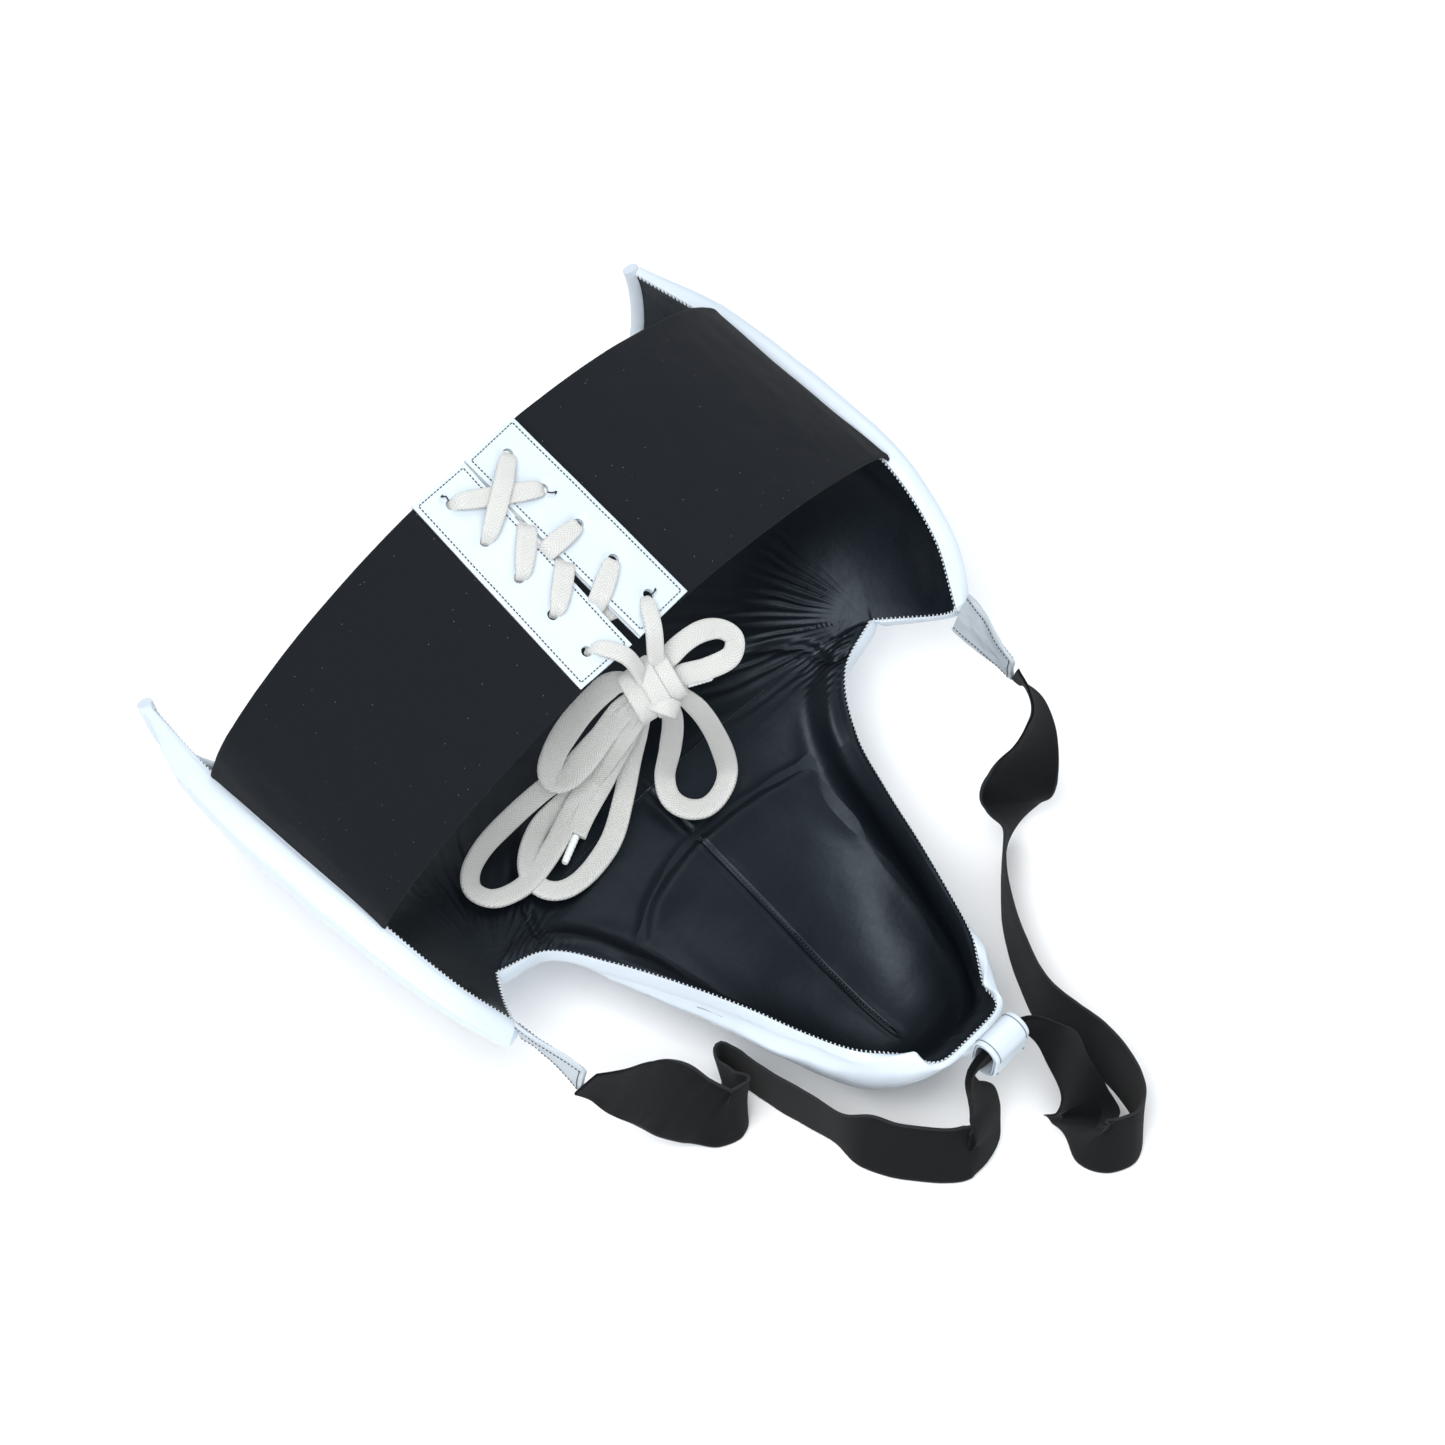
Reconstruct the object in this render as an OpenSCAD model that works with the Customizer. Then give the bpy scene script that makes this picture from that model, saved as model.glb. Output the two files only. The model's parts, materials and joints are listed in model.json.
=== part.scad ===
// Boxing groin protector, lying on its front with the laced belt arching over it.
// X is lateral, +Y points to the waist hem, -Y to the crotch tip, +Z is up from the surface.
// The origin is on the surface, under the flat spot that the cup rests on.

/* [Padded body] */
// Half width between the linings at the top hem
hem_half_w = 188; // [180:1:196]
// Height of the wing edges above the surface
wing_edge_h = 149; // [140:1:156]
// Distance from the hem to the spot the cup rests on
rest_run = 355; // [350:1:360]
// Padding thickness at the wing edges
wing_t = 11; // [9:0.5:13]
// Padding thickness over the abdomen
abdomen_t = 24; // [20:1:26]
// Padding thickness at the bottom of the cup
cup_t = 20.5; // [19.5:0.5:21.5]
// Leather thickness
leather_t = 1.4; // [1:0.1:1.6]
// Diameter of the rolled hem
hem_d = 9; // [7:0.5:10]

/* [Belt and lacing] */
// Width of the elastic belt from its top edge to its bottom edge
belt_w = 130; // [120:1:134]
// Thickness of the elastic belt
belt_t = 2; // [1.5:0.1:2.4]
// Rise of the belt above the wing edges along its top edge
belt_rise = 73; // [66:1:78]
// Width of one lacing panel
panel_w = 38; // [34:1:40]
// Radius of a punched lace hole
hole_r = 3; // [2.4:0.1:3.4]
// Distance between lace holes
hole_pitch = 26; // [24:0.5:26]
// Diameter of the lace where it is drawn tight
lace_d = 5; // [4:0.5:5.5]

/* [Leg strap] */
// Width of the leg strap
strap_w = 44; // [38:1:46]
// Thickness of the leg strap
strap_t = 2; // [1.5:0.1:2.4]
// Length of a leather strap tab beyond the wing
tab_len = 42; // [36:1:44]
// Width of the keeper loop along the strap
keeper_w = 26; // [20:1:28]

/* [Hidden] */
white = "#e6eef4";
off_white = "#ece8da";
black = "#15181c";
dark_blue = "#1b232e";
foam_grey = "#9aa0a6";
cup_white = "#cfd3d6";
gap = 0.3;                // air between neighbouring layers
pad_gap = 0.7;            // air round the padding and the hard cup
flex_run = 190;           // hem to the flex line on the centre line
leg_run = 214;            // hem to the top of a leg opening
lobe_run = 250;           // hem to the lower tip of a wing
lobe_half_w = 174;        // half width at the wing tips
hem_dip = 45;             // the hem swoops down to the front by this much
leg_share = 0.653;        // share of the half width inside the leg openings

// Waist rows from hem to flex line:
// [share, half width, edge height, centre height, centre thickness, edge thickness]
waist_rows = [
    [0.0, hem_half_w, wing_edge_h - 1, 14, 12, 6],
    [0.2, hem_half_w + 7, wing_edge_h, 24, 19, wing_t],
    [0.45, hem_half_w + 9, wing_edge_h - 1, 40, abdomen_t, wing_t + 1],
    [0.7, hem_half_w + 8, wing_edge_h - 4, 53, abdomen_t, wing_t],
    [0.88, hem_half_w, 128, 57, abdomen_t - 2, wing_t - 1],
    [1.0, lobe_half_w, 107, 57, abdomen_t - 5, wing_t - 2]];

// Cup rows from flex line to tip: [share, edge x, edge run, edge height, centre run, centre height]
apex_x = lobe_half_w * sin(90 * leg_share);
apex_z = 107 - (107 - 57) * cos(90 * leg_share);
cup_rows = [
    [0.0, apex_x, leg_run, apex_z, flex_run, 57],
    [0.1, 119, 223, 76, 214, 53],
    [0.25, 97, 251, 69, 248, 45],
    [0.4, 82, 285, 71, 288, 34],
    [0.55, 69, 321, 73, 325, 23],
    [0.7, 58, 352, 71, 358, 18],
    [0.82, 48, 376, 71, 383, 23],
    [0.92, 38, 390, 72, 403, 48],
    [1.0, 28, 402, 73, 417, 76]];

// Smooth curve through the rows of a table whose first column is the parameter
function row_at(rows, t) = min(max([for (i = [0:len(rows) - 2]) if (rows[i][0] <= t) i]), len(rows) - 2);
function slope_at(rows, i) = let(a = rows[max(i - 1, 0)], b = rows[min(i + 1, len(rows) - 1)])
    (b - a) / (b[0] - a[0]);
function smooth(rows, t) =
    let(i = row_at(rows, t), p = rows[i], q = rows[i + 1], h = q[0] - p[0], s = (t - p[0]) / h)
    (2 * pow(s, 3) - 3 * pow(s, 2) + 1) * p + (pow(s, 3) - 2 * pow(s, 2) + s) * h * slope_at(rows, i)
    + (3 * pow(s, 2) - 2 * pow(s, 3)) * q + (pow(s, 3) - pow(s, 2)) * h * slope_at(rows, i + 1);

swell = 89.9;             // quarter turn of the thickness and dip curves, short of a zero cosine
// Lining surface of the waist and wings: a runs edge to edge from -1 to 1, b from hem to flex line
function low_run(a) = abs(a) < leg_share
    ? flex_run + (leg_run - flex_run) * pow(a / leg_share, 2)
    : leg_run + (lobe_run - leg_run) * sin(90 * (abs(a) - leg_share) / (1 - leg_share));
function waist_pt(a, b) = let(r = smooth(waist_rows, b))
    let(dip = hem_dip * pow(cos(swell * a), 0.8))
    [r[1] * sin(90 * a), rest_run - dip - b * (low_run(a) - dip), r[2] - (r[2] - r[3]) * cos(90 * a)];
function waist_t(a, b) = let(r = smooth(waist_rows, b)) r[5] + (r[4] - r[5]) * pow(cos(swell * a), 1.5);

// Lining surface of the cup: a runs rim to rim, b from flex line to crotch tip
function cup_pt(a, b) =
    let(r = smooth(cup_rows, b), open = 90 * min(1, leg_share + (1 - leg_share) * b / 0.25),
        side = sin(open * a) / sin(open), dip = (cos(open * a) - cos(open)) / (1 - cos(open)),
        pull = b > 0.7 ? pow(abs(a), 2 + 6 * (b - 0.7)) : pow(a, 2))
    [r[1] * side, rest_run - r[4] + (r[4] - r[2]) * pull, r[3] - (r[3] - r[5]) * dip];
function cup_thick(a, b) = smooth([[0, 9], [0.6, 9], [1, 6]], b)[1]
    + smooth([[0, 10], [0.5, cup_t - 9], [0.8, cup_t - 9], [1, 1]], b)[1] * pow(cos(swell * a), 1.5);

// Grid helpers
function steps(from, to, n) = [for (i = [0:n]) from + (to - from) * i / n];
function unit(v) = v / norm(v);
function normal(g, i, j) =
    let(n = len(g) - 1, m = len(g[0]) - 1,
        across = g[i][min(j + 1, m)] - g[i][max(j - 1, 0)],
        along = g[min(i + 1, n)][j] - g[max(i - 1, 0)][j])
    unit(cross(across, along));
function pushed(g, depth, low = -9) = [for (i = [0:len(g) - 1]) [for (j = [0:len(g[0]) - 1])
    let(p = g[i][j] + normal(g, i, j) * depth[i][j]) [p[0], p[1], max(p[2], low)]]];
function flat(rows) = [for (r = rows) each r];

// Closed solid between two grids of the same size
module between(inner, outer) {
    n = len(inner);
    m = len(inner[0]);
    top = n * m;
    quads_in = [for (i = [0:n - 2]) for (j = [0:m - 2])
        [i * m + j, i * m + j + 1, (i + 1) * m + j + 1, (i + 1) * m + j]];
    quads_out = [for (q = quads_in) [q[3] + top, q[2] + top, q[1] + top, q[0] + top]];
    rim = concat([for (j = [0:m - 2]) [j, j + 1]], [for (i = [0:n - 2]) [i * m + m - 1, (i + 1) * m + m - 1]],
        [for (j = [m - 1:-1:1]) [(n - 1) * m + j, (n - 1) * m + j - 1]],
        [for (i = [n - 1:-1:1]) [i * m, (i - 1) * m]]);
    quads_rim = [for (e = rim) [e[1], e[0], e[0] + top, e[1] + top]];
    polyhedron(concat(flat(inner), flat(outer)), split(concat(quads_in, quads_out, quads_rim)));
}
function split(quads) = [for (q = quads) each [[q[0], q[1], q[2]], [q[0], q[2], q[3]]]];

// One layer of the waist or cup between two depths; each depth is a share of the local thickness
// plus a constant. All layers of one part share the same grid lines, so they never cross.
waist_b = 0.992;          // the waist's last grid line, just short of the flex line
cup_b = 0.012;            // the cup's first grid line
function wb(i) = waist_b * i / 10;
function cb(i) = cup_b + (1 - cup_b) * i / 18;
module waist_layer(a0, a1, b0, b1, n, m, d0, d1) {
    g = [for (b = steps(b0, b1, n)) [for (a = steps(a0, a1, m)) waist_pt(a, b)]];
    t = [for (b = steps(b0, b1, n)) [for (a = steps(a0, a1, m)) waist_t(a, b)]];
    between(pushed(g, t * d0[0] + ones(t) * d0[1]), pushed(g, t * d1[0] + ones(t) * d1[1]));
}
module cup_layer(a0, a1, b0, b1, n, m, d0, d1, low = [-9, -9]) {
    g = [for (b = steps(b0, b1, n)) [for (a = steps(a0, a1, m)) cup_pt(a, b)]];
    t = [for (b = steps(b0, b1, n)) [for (a = steps(a0, a1, m)) cup_thick(a, b)]];
    between(pushed(g, t * d0[0] + ones(t) * d0[1], low[0]), pushed(g, t * d1[0] + ones(t) * d1[1], low[1]));
}
function ones(t) = [for (r = t) [for (v = r) 1]];

// Tube or ribbon swept along a path; side is the direction of its width at each point
function along_at(p, i) = unit(p[min(i + 1, len(p) - 1)] - p[max(i - 1, 0)]);
module sweep(path, sides, w, t, n) {
    rings = [for (i = [0:len(path) - 1])
        let(d = along_at(path, i), thin = unit(cross(d, sides[i])), wide = cross(thin, d),
            wi = is_list(w) ? w[i] : w, ti = is_list(t) ? t[i] : t)
        [for (k = [0:n - 1]) let(q = 360 * (k + 0.5) / n, f = n == 4 ? sqrt(2) : 1)
            path[i] + (wide * cos(q) * wi + thin * sin(q) * ti) * f / 2]];
    last = (len(path) - 1) * n;
    walls = [for (i = [0:len(path) - 2]) for (k = [0:n - 1])
        [i * n + k, (i + 1) * n + k, (i + 1) * n + (k + 1) % n, i * n + (k + 1) % n]];
    start_cap = [for (k = [0:n - 1]) k];
    end_cap = [for (k = [n - 1:-1:0]) last + k];
    polyhedron(flat(rings), concat([start_cap], split(walls), [end_cap]));
}
function curve(pts, n) = let(rows = [for (i = [0:len(pts) - 1]) concat([i], pts[i])])
    [for (t = steps(0, len(pts) - 1, n)) let(r = smooth(rows, t)) [for (k = [1:len(r) - 1]) r[k]]];
function at_run(p) = [p[0], rest_run - p[1], p[2]];

// ---- padded body ----
pad_in = [0, leather_t + pad_gap];
pad_out = [1, -leather_t - pad_gap];
module waist_cover() color(white)
    waist_layer(-1, 1, 0, waist_b, 10, 32, [1, -leather_t], [1, 0]);
module waist_lining() color(dark_blue)
    waist_layer(-1, 1, 0, waist_b, 10, 32, [0, 0], [0, leather_t]);
front_pad_a = 0.4375;
module abdominal_pad() color(foam_grey)
    waist_layer(-front_pad_a, front_pad_a, wb(1), wb(9), 8, 14, pad_in, pad_out);
wing_pad_a = [0.5, 0.9375];
module wing_pad(side) color(foam_grey)
    waist_layer(min(side * wing_pad_a), max(side * wing_pad_a), wb(1), wb(9), 8, 7, pad_in, pad_out);
module left_wing_pad() wing_pad(-1);
module right_wing_pad() wing_pad(1);
module top_hem() {
    n = 36;
    g = [for (b = [0, 0.04]) [for (a = steps(-1, 1, n)) waist_pt(a, b)]];
    edge = [for (i = [0:n]) let(up = unit(g[0][i] - g[1][i]), t = waist_t(2 * i / n - 1, 0))
        g[0][i] + up * (hem_d / 2 + gap) + normal(g, 0, i) * (t - hem_d / 2)];
    path = [for (p = edge) [p[0], p[1], max(p[2], hem_d / 2)]];
    color(white)
        sweep(path, [for (p = path) [0.1, 1, 0.1]], hem_d, hem_d, 10);
}
cut_size = 200;
// Cut flat at the surface: the spot that it rests on
module cup_cover() color(white) difference() {
    cup_layer(-1, 1, cup_b, 1, 18, 20, [1, -leather_t], [1, 0], [1, -9]);
    translate([-cut_size / 2, -cut_size / 2, -cut_size])
        cube(cut_size);
}
seam_a = 0.004;           // half the gap of the centre seam, as a share
module cup_lining(side) color(dark_blue)
    cup_layer(min(side * seam_a, side), max(side * seam_a, side), cup_b, 1, 18, 10, [0, 0], [0, leather_t]);
module left_cup_lining() cup_lining(-1);
module right_cup_lining() cup_lining(1);
hard_t = 2.2;             // wall of the hard cup
foam_share = 0.5;         // share of the thickness that is foam, over the hard cup
cup_a = 0.6;              // half width of foam and hard cup, as a share
roll_a = [0.7, 0.9];
module cup_foam() color(foam_grey)
    cup_layer(-cup_a, cup_a, cb(1), cb(15), 14, 12, pad_in, [foam_share, 0], [-9, 5]);
module hard_cup() color(cup_white)
    cup_layer(-cup_a, cup_a, cb(3), cb(15), 12, 12,
        [foam_share, pad_gap], [foam_share, pad_gap + hard_t], [5, 2]);
module rim_roll(side) color(foam_grey)
    cup_layer(min(side * roll_a), max(side * roll_a), cb(1), cb(17), 16, 2, pad_in, pad_out);
module left_rim_roll() rim_roll(-1);
module right_rim_roll() rim_roll(1);

// ---- belt ----
belt_top = [42, 222];     // run and height of the belt's top edge on the centre line
belt_pitch = 15.6;        // slope of the belt down to its bottom edge
panel_fan = 1.3;          // each lacing panel turns out by this much
panel_tilt = 1.5;         // and leans out by this much
panel_t = 1.5;
panel_gap = 0.4;          // half the gap between the panels at the top
belt_half_w = hem_half_w + 7;
belt_low_run = 167;       // run of the belt's bottom edge on the centre line
belt_fall = 32;           // the middle of the bottom edge lies lower than that of the top edge
belt_full = 130;          // belt width that these two runs stand for
function belt_pt(q, s) =
    let(bow = 9 * pow(sin(q), 2),
        top = [belt_half_w * sin(q), belt_top[0] + bow, wing_edge_h + belt_rise * cos(q)],
        low = [(belt_half_w + 1) * sin(q), belt_low_run + bow,
            wing_edge_h - 3 + (belt_rise - belt_fall) * cos(q)])
    at_run(top + (low - top) * s * belt_w / belt_full);
module elastic(side) {
    inner = panel_w + panel_gap + 1;
    q0 = asin(inner / belt_half_w);
    q1 = asin((inner + belt_w * sin(panel_fan)) / belt_half_w);
    g = [for (s = steps(0, 1, 4))
        [for (q = steps(side * (q0 + (q1 - q0) * s), side * 88, 14)) belt_pt(q, s)]];
    rows = side > 0 ? g : mirror_rows(g);
    color(black)
        between(pushed(rows, ones(rows) * -belt_t), rows);
}
function mirror_rows(g) = [for (r = g) [for (j = [len(r) - 1:-1:0]) r[j]]];
module left_elastic() elastic(-1);
module right_elastic() elastic(1);

// Frame of a lacing panel: local x across, local -y down the belt, local z out of it
module on_belt(side) {
    translate(at_run([0, belt_top[0], belt_top[1]]))
        rotate([belt_pitch, 0, 0])
            rotate([0, side * panel_tilt, side * panel_fan])
                children();
}
module panel(side, low) {
    on_belt(side) difference() {
        translate([side > 0 ? panel_gap : -panel_w - panel_gap, -belt_w, low])
            cube([panel_w, belt_w, panel_t]);
        for (i = [0:4])
            translate([side * hole_x, -hole_y0 - i * hole_pitch, low - 1])
                cylinder(r = hole_r, h = panel_t + 2, $fn = 32);
    }
}
module left_lacing_panel() color(white) panel(-1, gap);
module right_lacing_panel() color(white) panel(1, gap);
module left_panel_backing() color(white) panel(-1, -panel_t);
module right_panel_backing() color(white) panel(1, -panel_t);

// ---- lace ----
// The drawn part lies in the belt's own frame: [x, distance down the belt, height]
hole_x = 0.56 * panel_w;
hole_y0 = 0.1 * belt_w;
lace_h = panel_t + gap + lace_d / 2 + 0.3;
module lace_run(p, n) {
    pts = curve([for (q = p) [q[0], -q[1], q[2]]], n);
    flat_way = unit([p[len(p) - 1][0] - p[0][0], p[0][1] - p[len(p) - 1][1], 0]);
    sweep(pts, [for (q = pts) cross([0, 0, 1], flat_way)], lace_d, lace_d, 8);
}
// Over the panels from one hole down to the next hole of the other panel
module crossing(side, row, lift) {
    x = side * hole_x;
    y = hole_y0 + row * hole_pitch;
    top = lace_h + lift;
    lace_run([for (s = [[0, -3], [0.05, 1.6], [0.16, lace_h], [0.35, top],
            [0.65, top], [0.84, lace_h], [0.95, 1.6], [1, -3]])
        [x * (1 - 2 * s[0]), y + s[0] * hole_pitch, s[1]]], 14);
}
// From under the panels, up through the gap between them at [gx, gy] and down a hole
module gap_run(side, row, gx, gy) {
    x = side * hole_x;
    y = hole_y0 + row * hole_pitch;
    from = [gx, y + gy];
    way = [x, y] - from;
    lace_run([for (s = [[-0.15, -8], [0, -2.5], [0.14, 1.6], [0.4, lace_h],
            [0.75, lace_h], [0.94, 2], [1, -3]])
        [from[0] + way[0] * s[0], from[1] + way[1] * s[0], s[1]]], 14);
}
// From the last hole over the belt's bottom edge to the knot
module to_knot(side) {
    x = side * hole_x;
    y = hole_y0 + 4 * hole_pitch;
    lace_run([[x, y, -4], [0.93 * x, y + 1, 1.6], [0.75 * x, y + 5, lace_h],
        [side * 10, belt_w + 2, lace_h - 1], [side * 7, belt_w + 11, -6],
        [side * 5, belt_w + 18, -19]], 14);
}
module lace() color(off_white) {
    translate(at_run([0, belt_top[0], belt_top[1]])) rotate([belt_pitch, 0, 0]) {
        crossing(1, 0, lace_d + 0.6);
        crossing(-1, 0, 0);
        gap_run(-1, 2, 3, -20);
        gap_run(1, 2, -6, -1);
        gap_run(-1, 3, 4, -18);
        gap_run(1, 3, -4, 12);
        for (side = [-1, 1])
            to_knot(side);
    }
}
knot_at = at_run([0, 182, 158]);
module bow_knot() color(off_white)
    translate(knot_at) hull() {
        translate([-6, 2, 4]) sphere(d = 13, $fn = 20);
        translate([6, -2, 3]) sphere(d = 13, $fn = 20);
        translate([0, 0, -6]) sphere(d = 12, $fn = 20);
    }

// Free loops and ends of the bow: [x, run, height] of the centre line
lace_w = 9;
lace_t = 5;
module free_lace(pts, n) {
    path = curve([for (p = pts) at_run(p)], n);
    color(off_white) sweep(path, [for (p = path) [-0.41, -0.27, 0.87]], lace_t, lace_w, 8);
}
module bow_loop_long() free_lace([
    [-6, 181, 150], [-20, 170, 119], [-38, 162, 89], [-52, 156, 76], [-70, 154, 71],
    [-94, 156, 74], [-112, 162, 78], [-121, 171, 80], [-119, 181, 80], [-109, 186, 77],
    [-93, 187, 73], [-70, 182, 70], [-44, 174, 72], [-22, 173, 94], [-9, 181, 145]], 15);
module bow_loop_short() free_lace([
    [-4, 185, 148], [-18, 178, 112], [-30, 172, 82], [-44, 167, 69], [-62, 167, 68],
    [-79, 174, 70], [-90, 184, 72], [-91, 194, 71], [-85, 201, 69], [-74, 204, 67],
    [-58, 203, 65], [-39, 198, 64], [-20, 188, 69], [-9, 182, 98], [-5, 183, 144]], 15);
module bow_ear_left() free_lace([
    [-4, 174, 158], [-11, 163, 150], [-25, 156, 128], [-38, 154, 108], [-47, 157, 98],
    [-48, 162, 92], [-41, 167, 95], [-27, 169, 109], [-12, 173, 134], [-4, 179, 151]], 10);
module bow_ear_right() free_lace([
    [7, 180, 164], [22, 179, 168], [37, 181, 168], [48, 186, 164], [51, 194, 160],
    [43, 199, 157], [30, 195, 156], [17, 189, 158], [6, 184, 158]], 9);
module bow_loop_right() free_lace([
    [6, 188, 150], [9, 192, 122], [9, 193, 93], [5, 195, 70], [0, 204, 64], [2, 214, 62],
    [10, 221, 62], [22, 221, 63], [32, 216, 68], [31, 208, 92], [23, 199, 123], [11, 189, 150]], 12);
module lace_end_left() free_lace([
    [-6, 182, 146], [-16, 179, 108], [-29, 178, 79], [-44, 181, 71], [-54, 185, 69]], 6);
module lace_end_right() free_lace([[8, 186, 156], [12, 189, 155], [16, 192, 153]], 3);
aglet_d = 5;
module aglet(from, to) {
    path = [for (s = [0, 0.5, 1]) at_run(from + (to - from) * s)];
    color("#f2f2ee")
        sweep(path, [for (p = path) [0, 0.1, 1]], aglet_d, aglet_d, 10);
}
module aglet_left() aglet([-54.6, 185.2, 69], [-71, 192, 69.5]);
module aglet_right() aglet([16.6, 192.3, 152.8], [30, 198, 150]);

// ---- leg strap, tabs and keeper ----
tab_w = 28;
tab_t = 3;
tab_root = [175, lobe_run + 2.5, 105];   // right side, middle of the sewn end
tab_drop = 7;
module tab(side) {
    path = [for (s = steps(0, 1, 6))
        at_run([side * (tab_root[0] - 4 * s), tab_root[1] + tab_len * s, tab_root[2] - tab_drop * s])];
    width = [for (s = steps(0, 1, 6)) tab_w - 4 * s];
    color(white)
        sweep(path, [for (p = path) [-side * 0.35, 0, -0.94]], width, tab_t, 4);
}
module left_tab() tab(-1);
module right_tab() tab(1);

// Leg strap, tab to tab: [x, run, height, width direction x y z, width, thickness].
// It hangs from the wings, stands on edge on the surface and is gathered in the keeper.
lean = [0.14, 0.22, 0.96];
lean_out = [-0.12, 0.2, 0.97];   // beside the cup
end_w = tab_w - 6;
gather = [13.6, 4.8];         // width and thickness inside the keeper
rest_z = strap_w / 2;
function standing(x, run) = concat([x, run, rest_z], lean, [strap_w, strap_t]);
function beside(x, run) = concat([x, run, rest_z], lean_out, [strap_w, strap_t]);
strap_route = [
    [-171, 297.5, 98, 0.35, 0, 0.94, end_w, strap_t],
    [-160, 304, 90, 0.3, 0, 0.94, end_w + 6, strap_t],
    [-147, 309, 76, 0.2, 0.1, 0.95, strap_w - 6, strap_t],
    [-132, 316, 58, 0.1, 0.2, 0.95, strap_w, strap_t],
    concat([-121, 325, 38], lean, [strap_w, strap_t]),
    concat([-111, 334, 26], lean, [strap_w, strap_t]),
    standing(-104, 341), standing(-95, 344), standing(-87, 341), beside(-86, 332), beside(-86, 323),
    beside(-81, 319), beside(-76, 327), beside(-74, 341), beside(-72, 356), beside(-69, 373),
    beside(-66, 390), standing(-61, 404), standing(-55, 418), standing(-46, 431), standing(-37, 441),
    standing(-28, 447),
    [-20, 449, 24, -0.1, 0.1, 0.96, strap_w - 4, strap_t],
    [-15, 446, 36, -0.6, 0, 0.7, strap_w - 14, strap_t],
    [-16, 441, 54, -0.95, -0.1, 0.2, strap_w - 20, strap_t],
    [-21, 437, 70, -0.9, -0.3, 0.2, gather[0], 3],
    [-22, 434, 83, -0.5, -0.3, 0.7, gather[0], 4],
    [-15, 434, 91, 0, 0, 1, gather[0], gather[1]],
    [0, 434.5, 91, 0, 0, 1, gather[0], gather[1]],
    [14, 434.5, 91, 0, 0, 1, gather[0], 4],
    [21, 440, 90, 0.5, -0.1, 0.8, gather[0], 3],
    [26, 449, 83, 0.8, -0.1, 0.5, gather[0] + 4, strap_t],
    [30, 457, 70, 0.9, 0.2, 0.2, strap_w - 18, strap_t],
    [32, 465, 52, 0.9, 0.3, 0.1, strap_w - 14, strap_t],
    [30, 473, 37, 0.8, 0.3, 0.5, strap_w - 8, strap_t],
    [25, 481, 27, 0.4, 0.3, 0.85, strap_w, strap_t],
    standing(22, 491), standing(28, 500), standing(40, 505), standing(52, 500), standing(60, 489),
    standing(65, 474), standing(67, 457), standing(66, 439), standing(67, 420), standing(74, 401),
    standing(85, 381), standing(98, 364), standing(113, 349),
    concat([128, 337, 24], lean, [strap_w, strap_t]),
    [140, 330, 33, 0, 0.4, 0.9, strap_w, strap_t],
    [150, 327, 50, -0.3, 0.5, 0.7, strap_w, strap_t],
    [161, 322, 67, -0.4, 0.3, 0.8, strap_w - 6, strap_t],
    [168, 315, 84, -0.4, 0.1, 0.9, end_w + 8, strap_t],
    [170, 306, 95, -0.35, 0, 0.94, end_w + 2, strap_t],
    [171, 299, 97, -0.35, 0, 0.94, end_w, strap_t]];
module leg_strap() {
    rows = curve([for (p = strap_route) concat(at_run(p), [for (k = [3:7]) p[k]])], 110);
    low = [for (r = rows) r[2] - r[6] / 2 * abs(unit([r[3], r[4], r[5]])[2])];
    color(black)
        sweep([for (i = [0:len(rows) - 1]) [rows[i][0], rows[i][1], rows[i][2] - min(low[i], 0)]],
            [for (r = rows) [r[3], r[4], r[5]]], [for (r = rows) r[6]], [for (r = rows) r[7]], 4);
}

keeper_at = [0, 434.5, 91]; // run and height of the keeper's centre
keeper_in = [11, 22];       // clear depth and height inside the loop
module keeper_ring(start, wall) {
    translate(at_run(keeper_at))
        rotate([90, 0, 90])
            translate([0, 0, -keeper_w / 2])
                linear_extrude(height = keeper_w)
                    difference() {
                        stadium(keeper_in[0] + 2 * (start + wall), keeper_in[1] + 2 * (start + wall));
                        stadium(keeper_in[0] + 2 * start, keeper_in[1] + 2 * start);
                    }
}
module stadium(w, h) {
    square([w, h - w], center = true);
    for (s = [-1, 1])
        translate([0, s * (h - w) / 2])
            circle(d = w, $fn = 48);
}
module keeper_inner() color("#aeb8c0") keeper_ring(0, leather_t);
// The loop's tail runs down to the crotch tip, where it is sewn on: [y, height] of its section
tail_w = 20;
tail = [[-71.6, 93], [-69.9, 86], [-69.2, 80], [-69.6, 74], [-72.4, 74], [-72, 80], [-72.4, 86]];
module keeper_outer() color(white) {
    keeper_ring(leather_t + 0.1, leather_t);
    translate([-tail_w / 2, 0, 0])
        rotate([90, 0, 90])
            linear_extrude(height = tail_w)
                polygon(tail);
}

waist_cover();
waist_lining();
abdominal_pad();
left_wing_pad();
right_wing_pad();
top_hem();
cup_cover();
left_cup_lining();
right_cup_lining();
cup_foam();
hard_cup();
left_rim_roll();
right_rim_roll();
left_elastic();
right_elastic();
left_lacing_panel();
right_lacing_panel();
left_panel_backing();
right_panel_backing();
lace();
bow_knot();
bow_loop_long();
bow_loop_short();
bow_ear_left();
bow_ear_right();
bow_loop_right();
lace_end_left();
lace_end_right();
aglet_left();
aglet_right();
left_tab();
right_tab();
leg_strap();
keeper_outer();
keeper_inner();
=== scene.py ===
import bpy
import json
import numpy as np
from mathutils import Matrix, Vector

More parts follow.
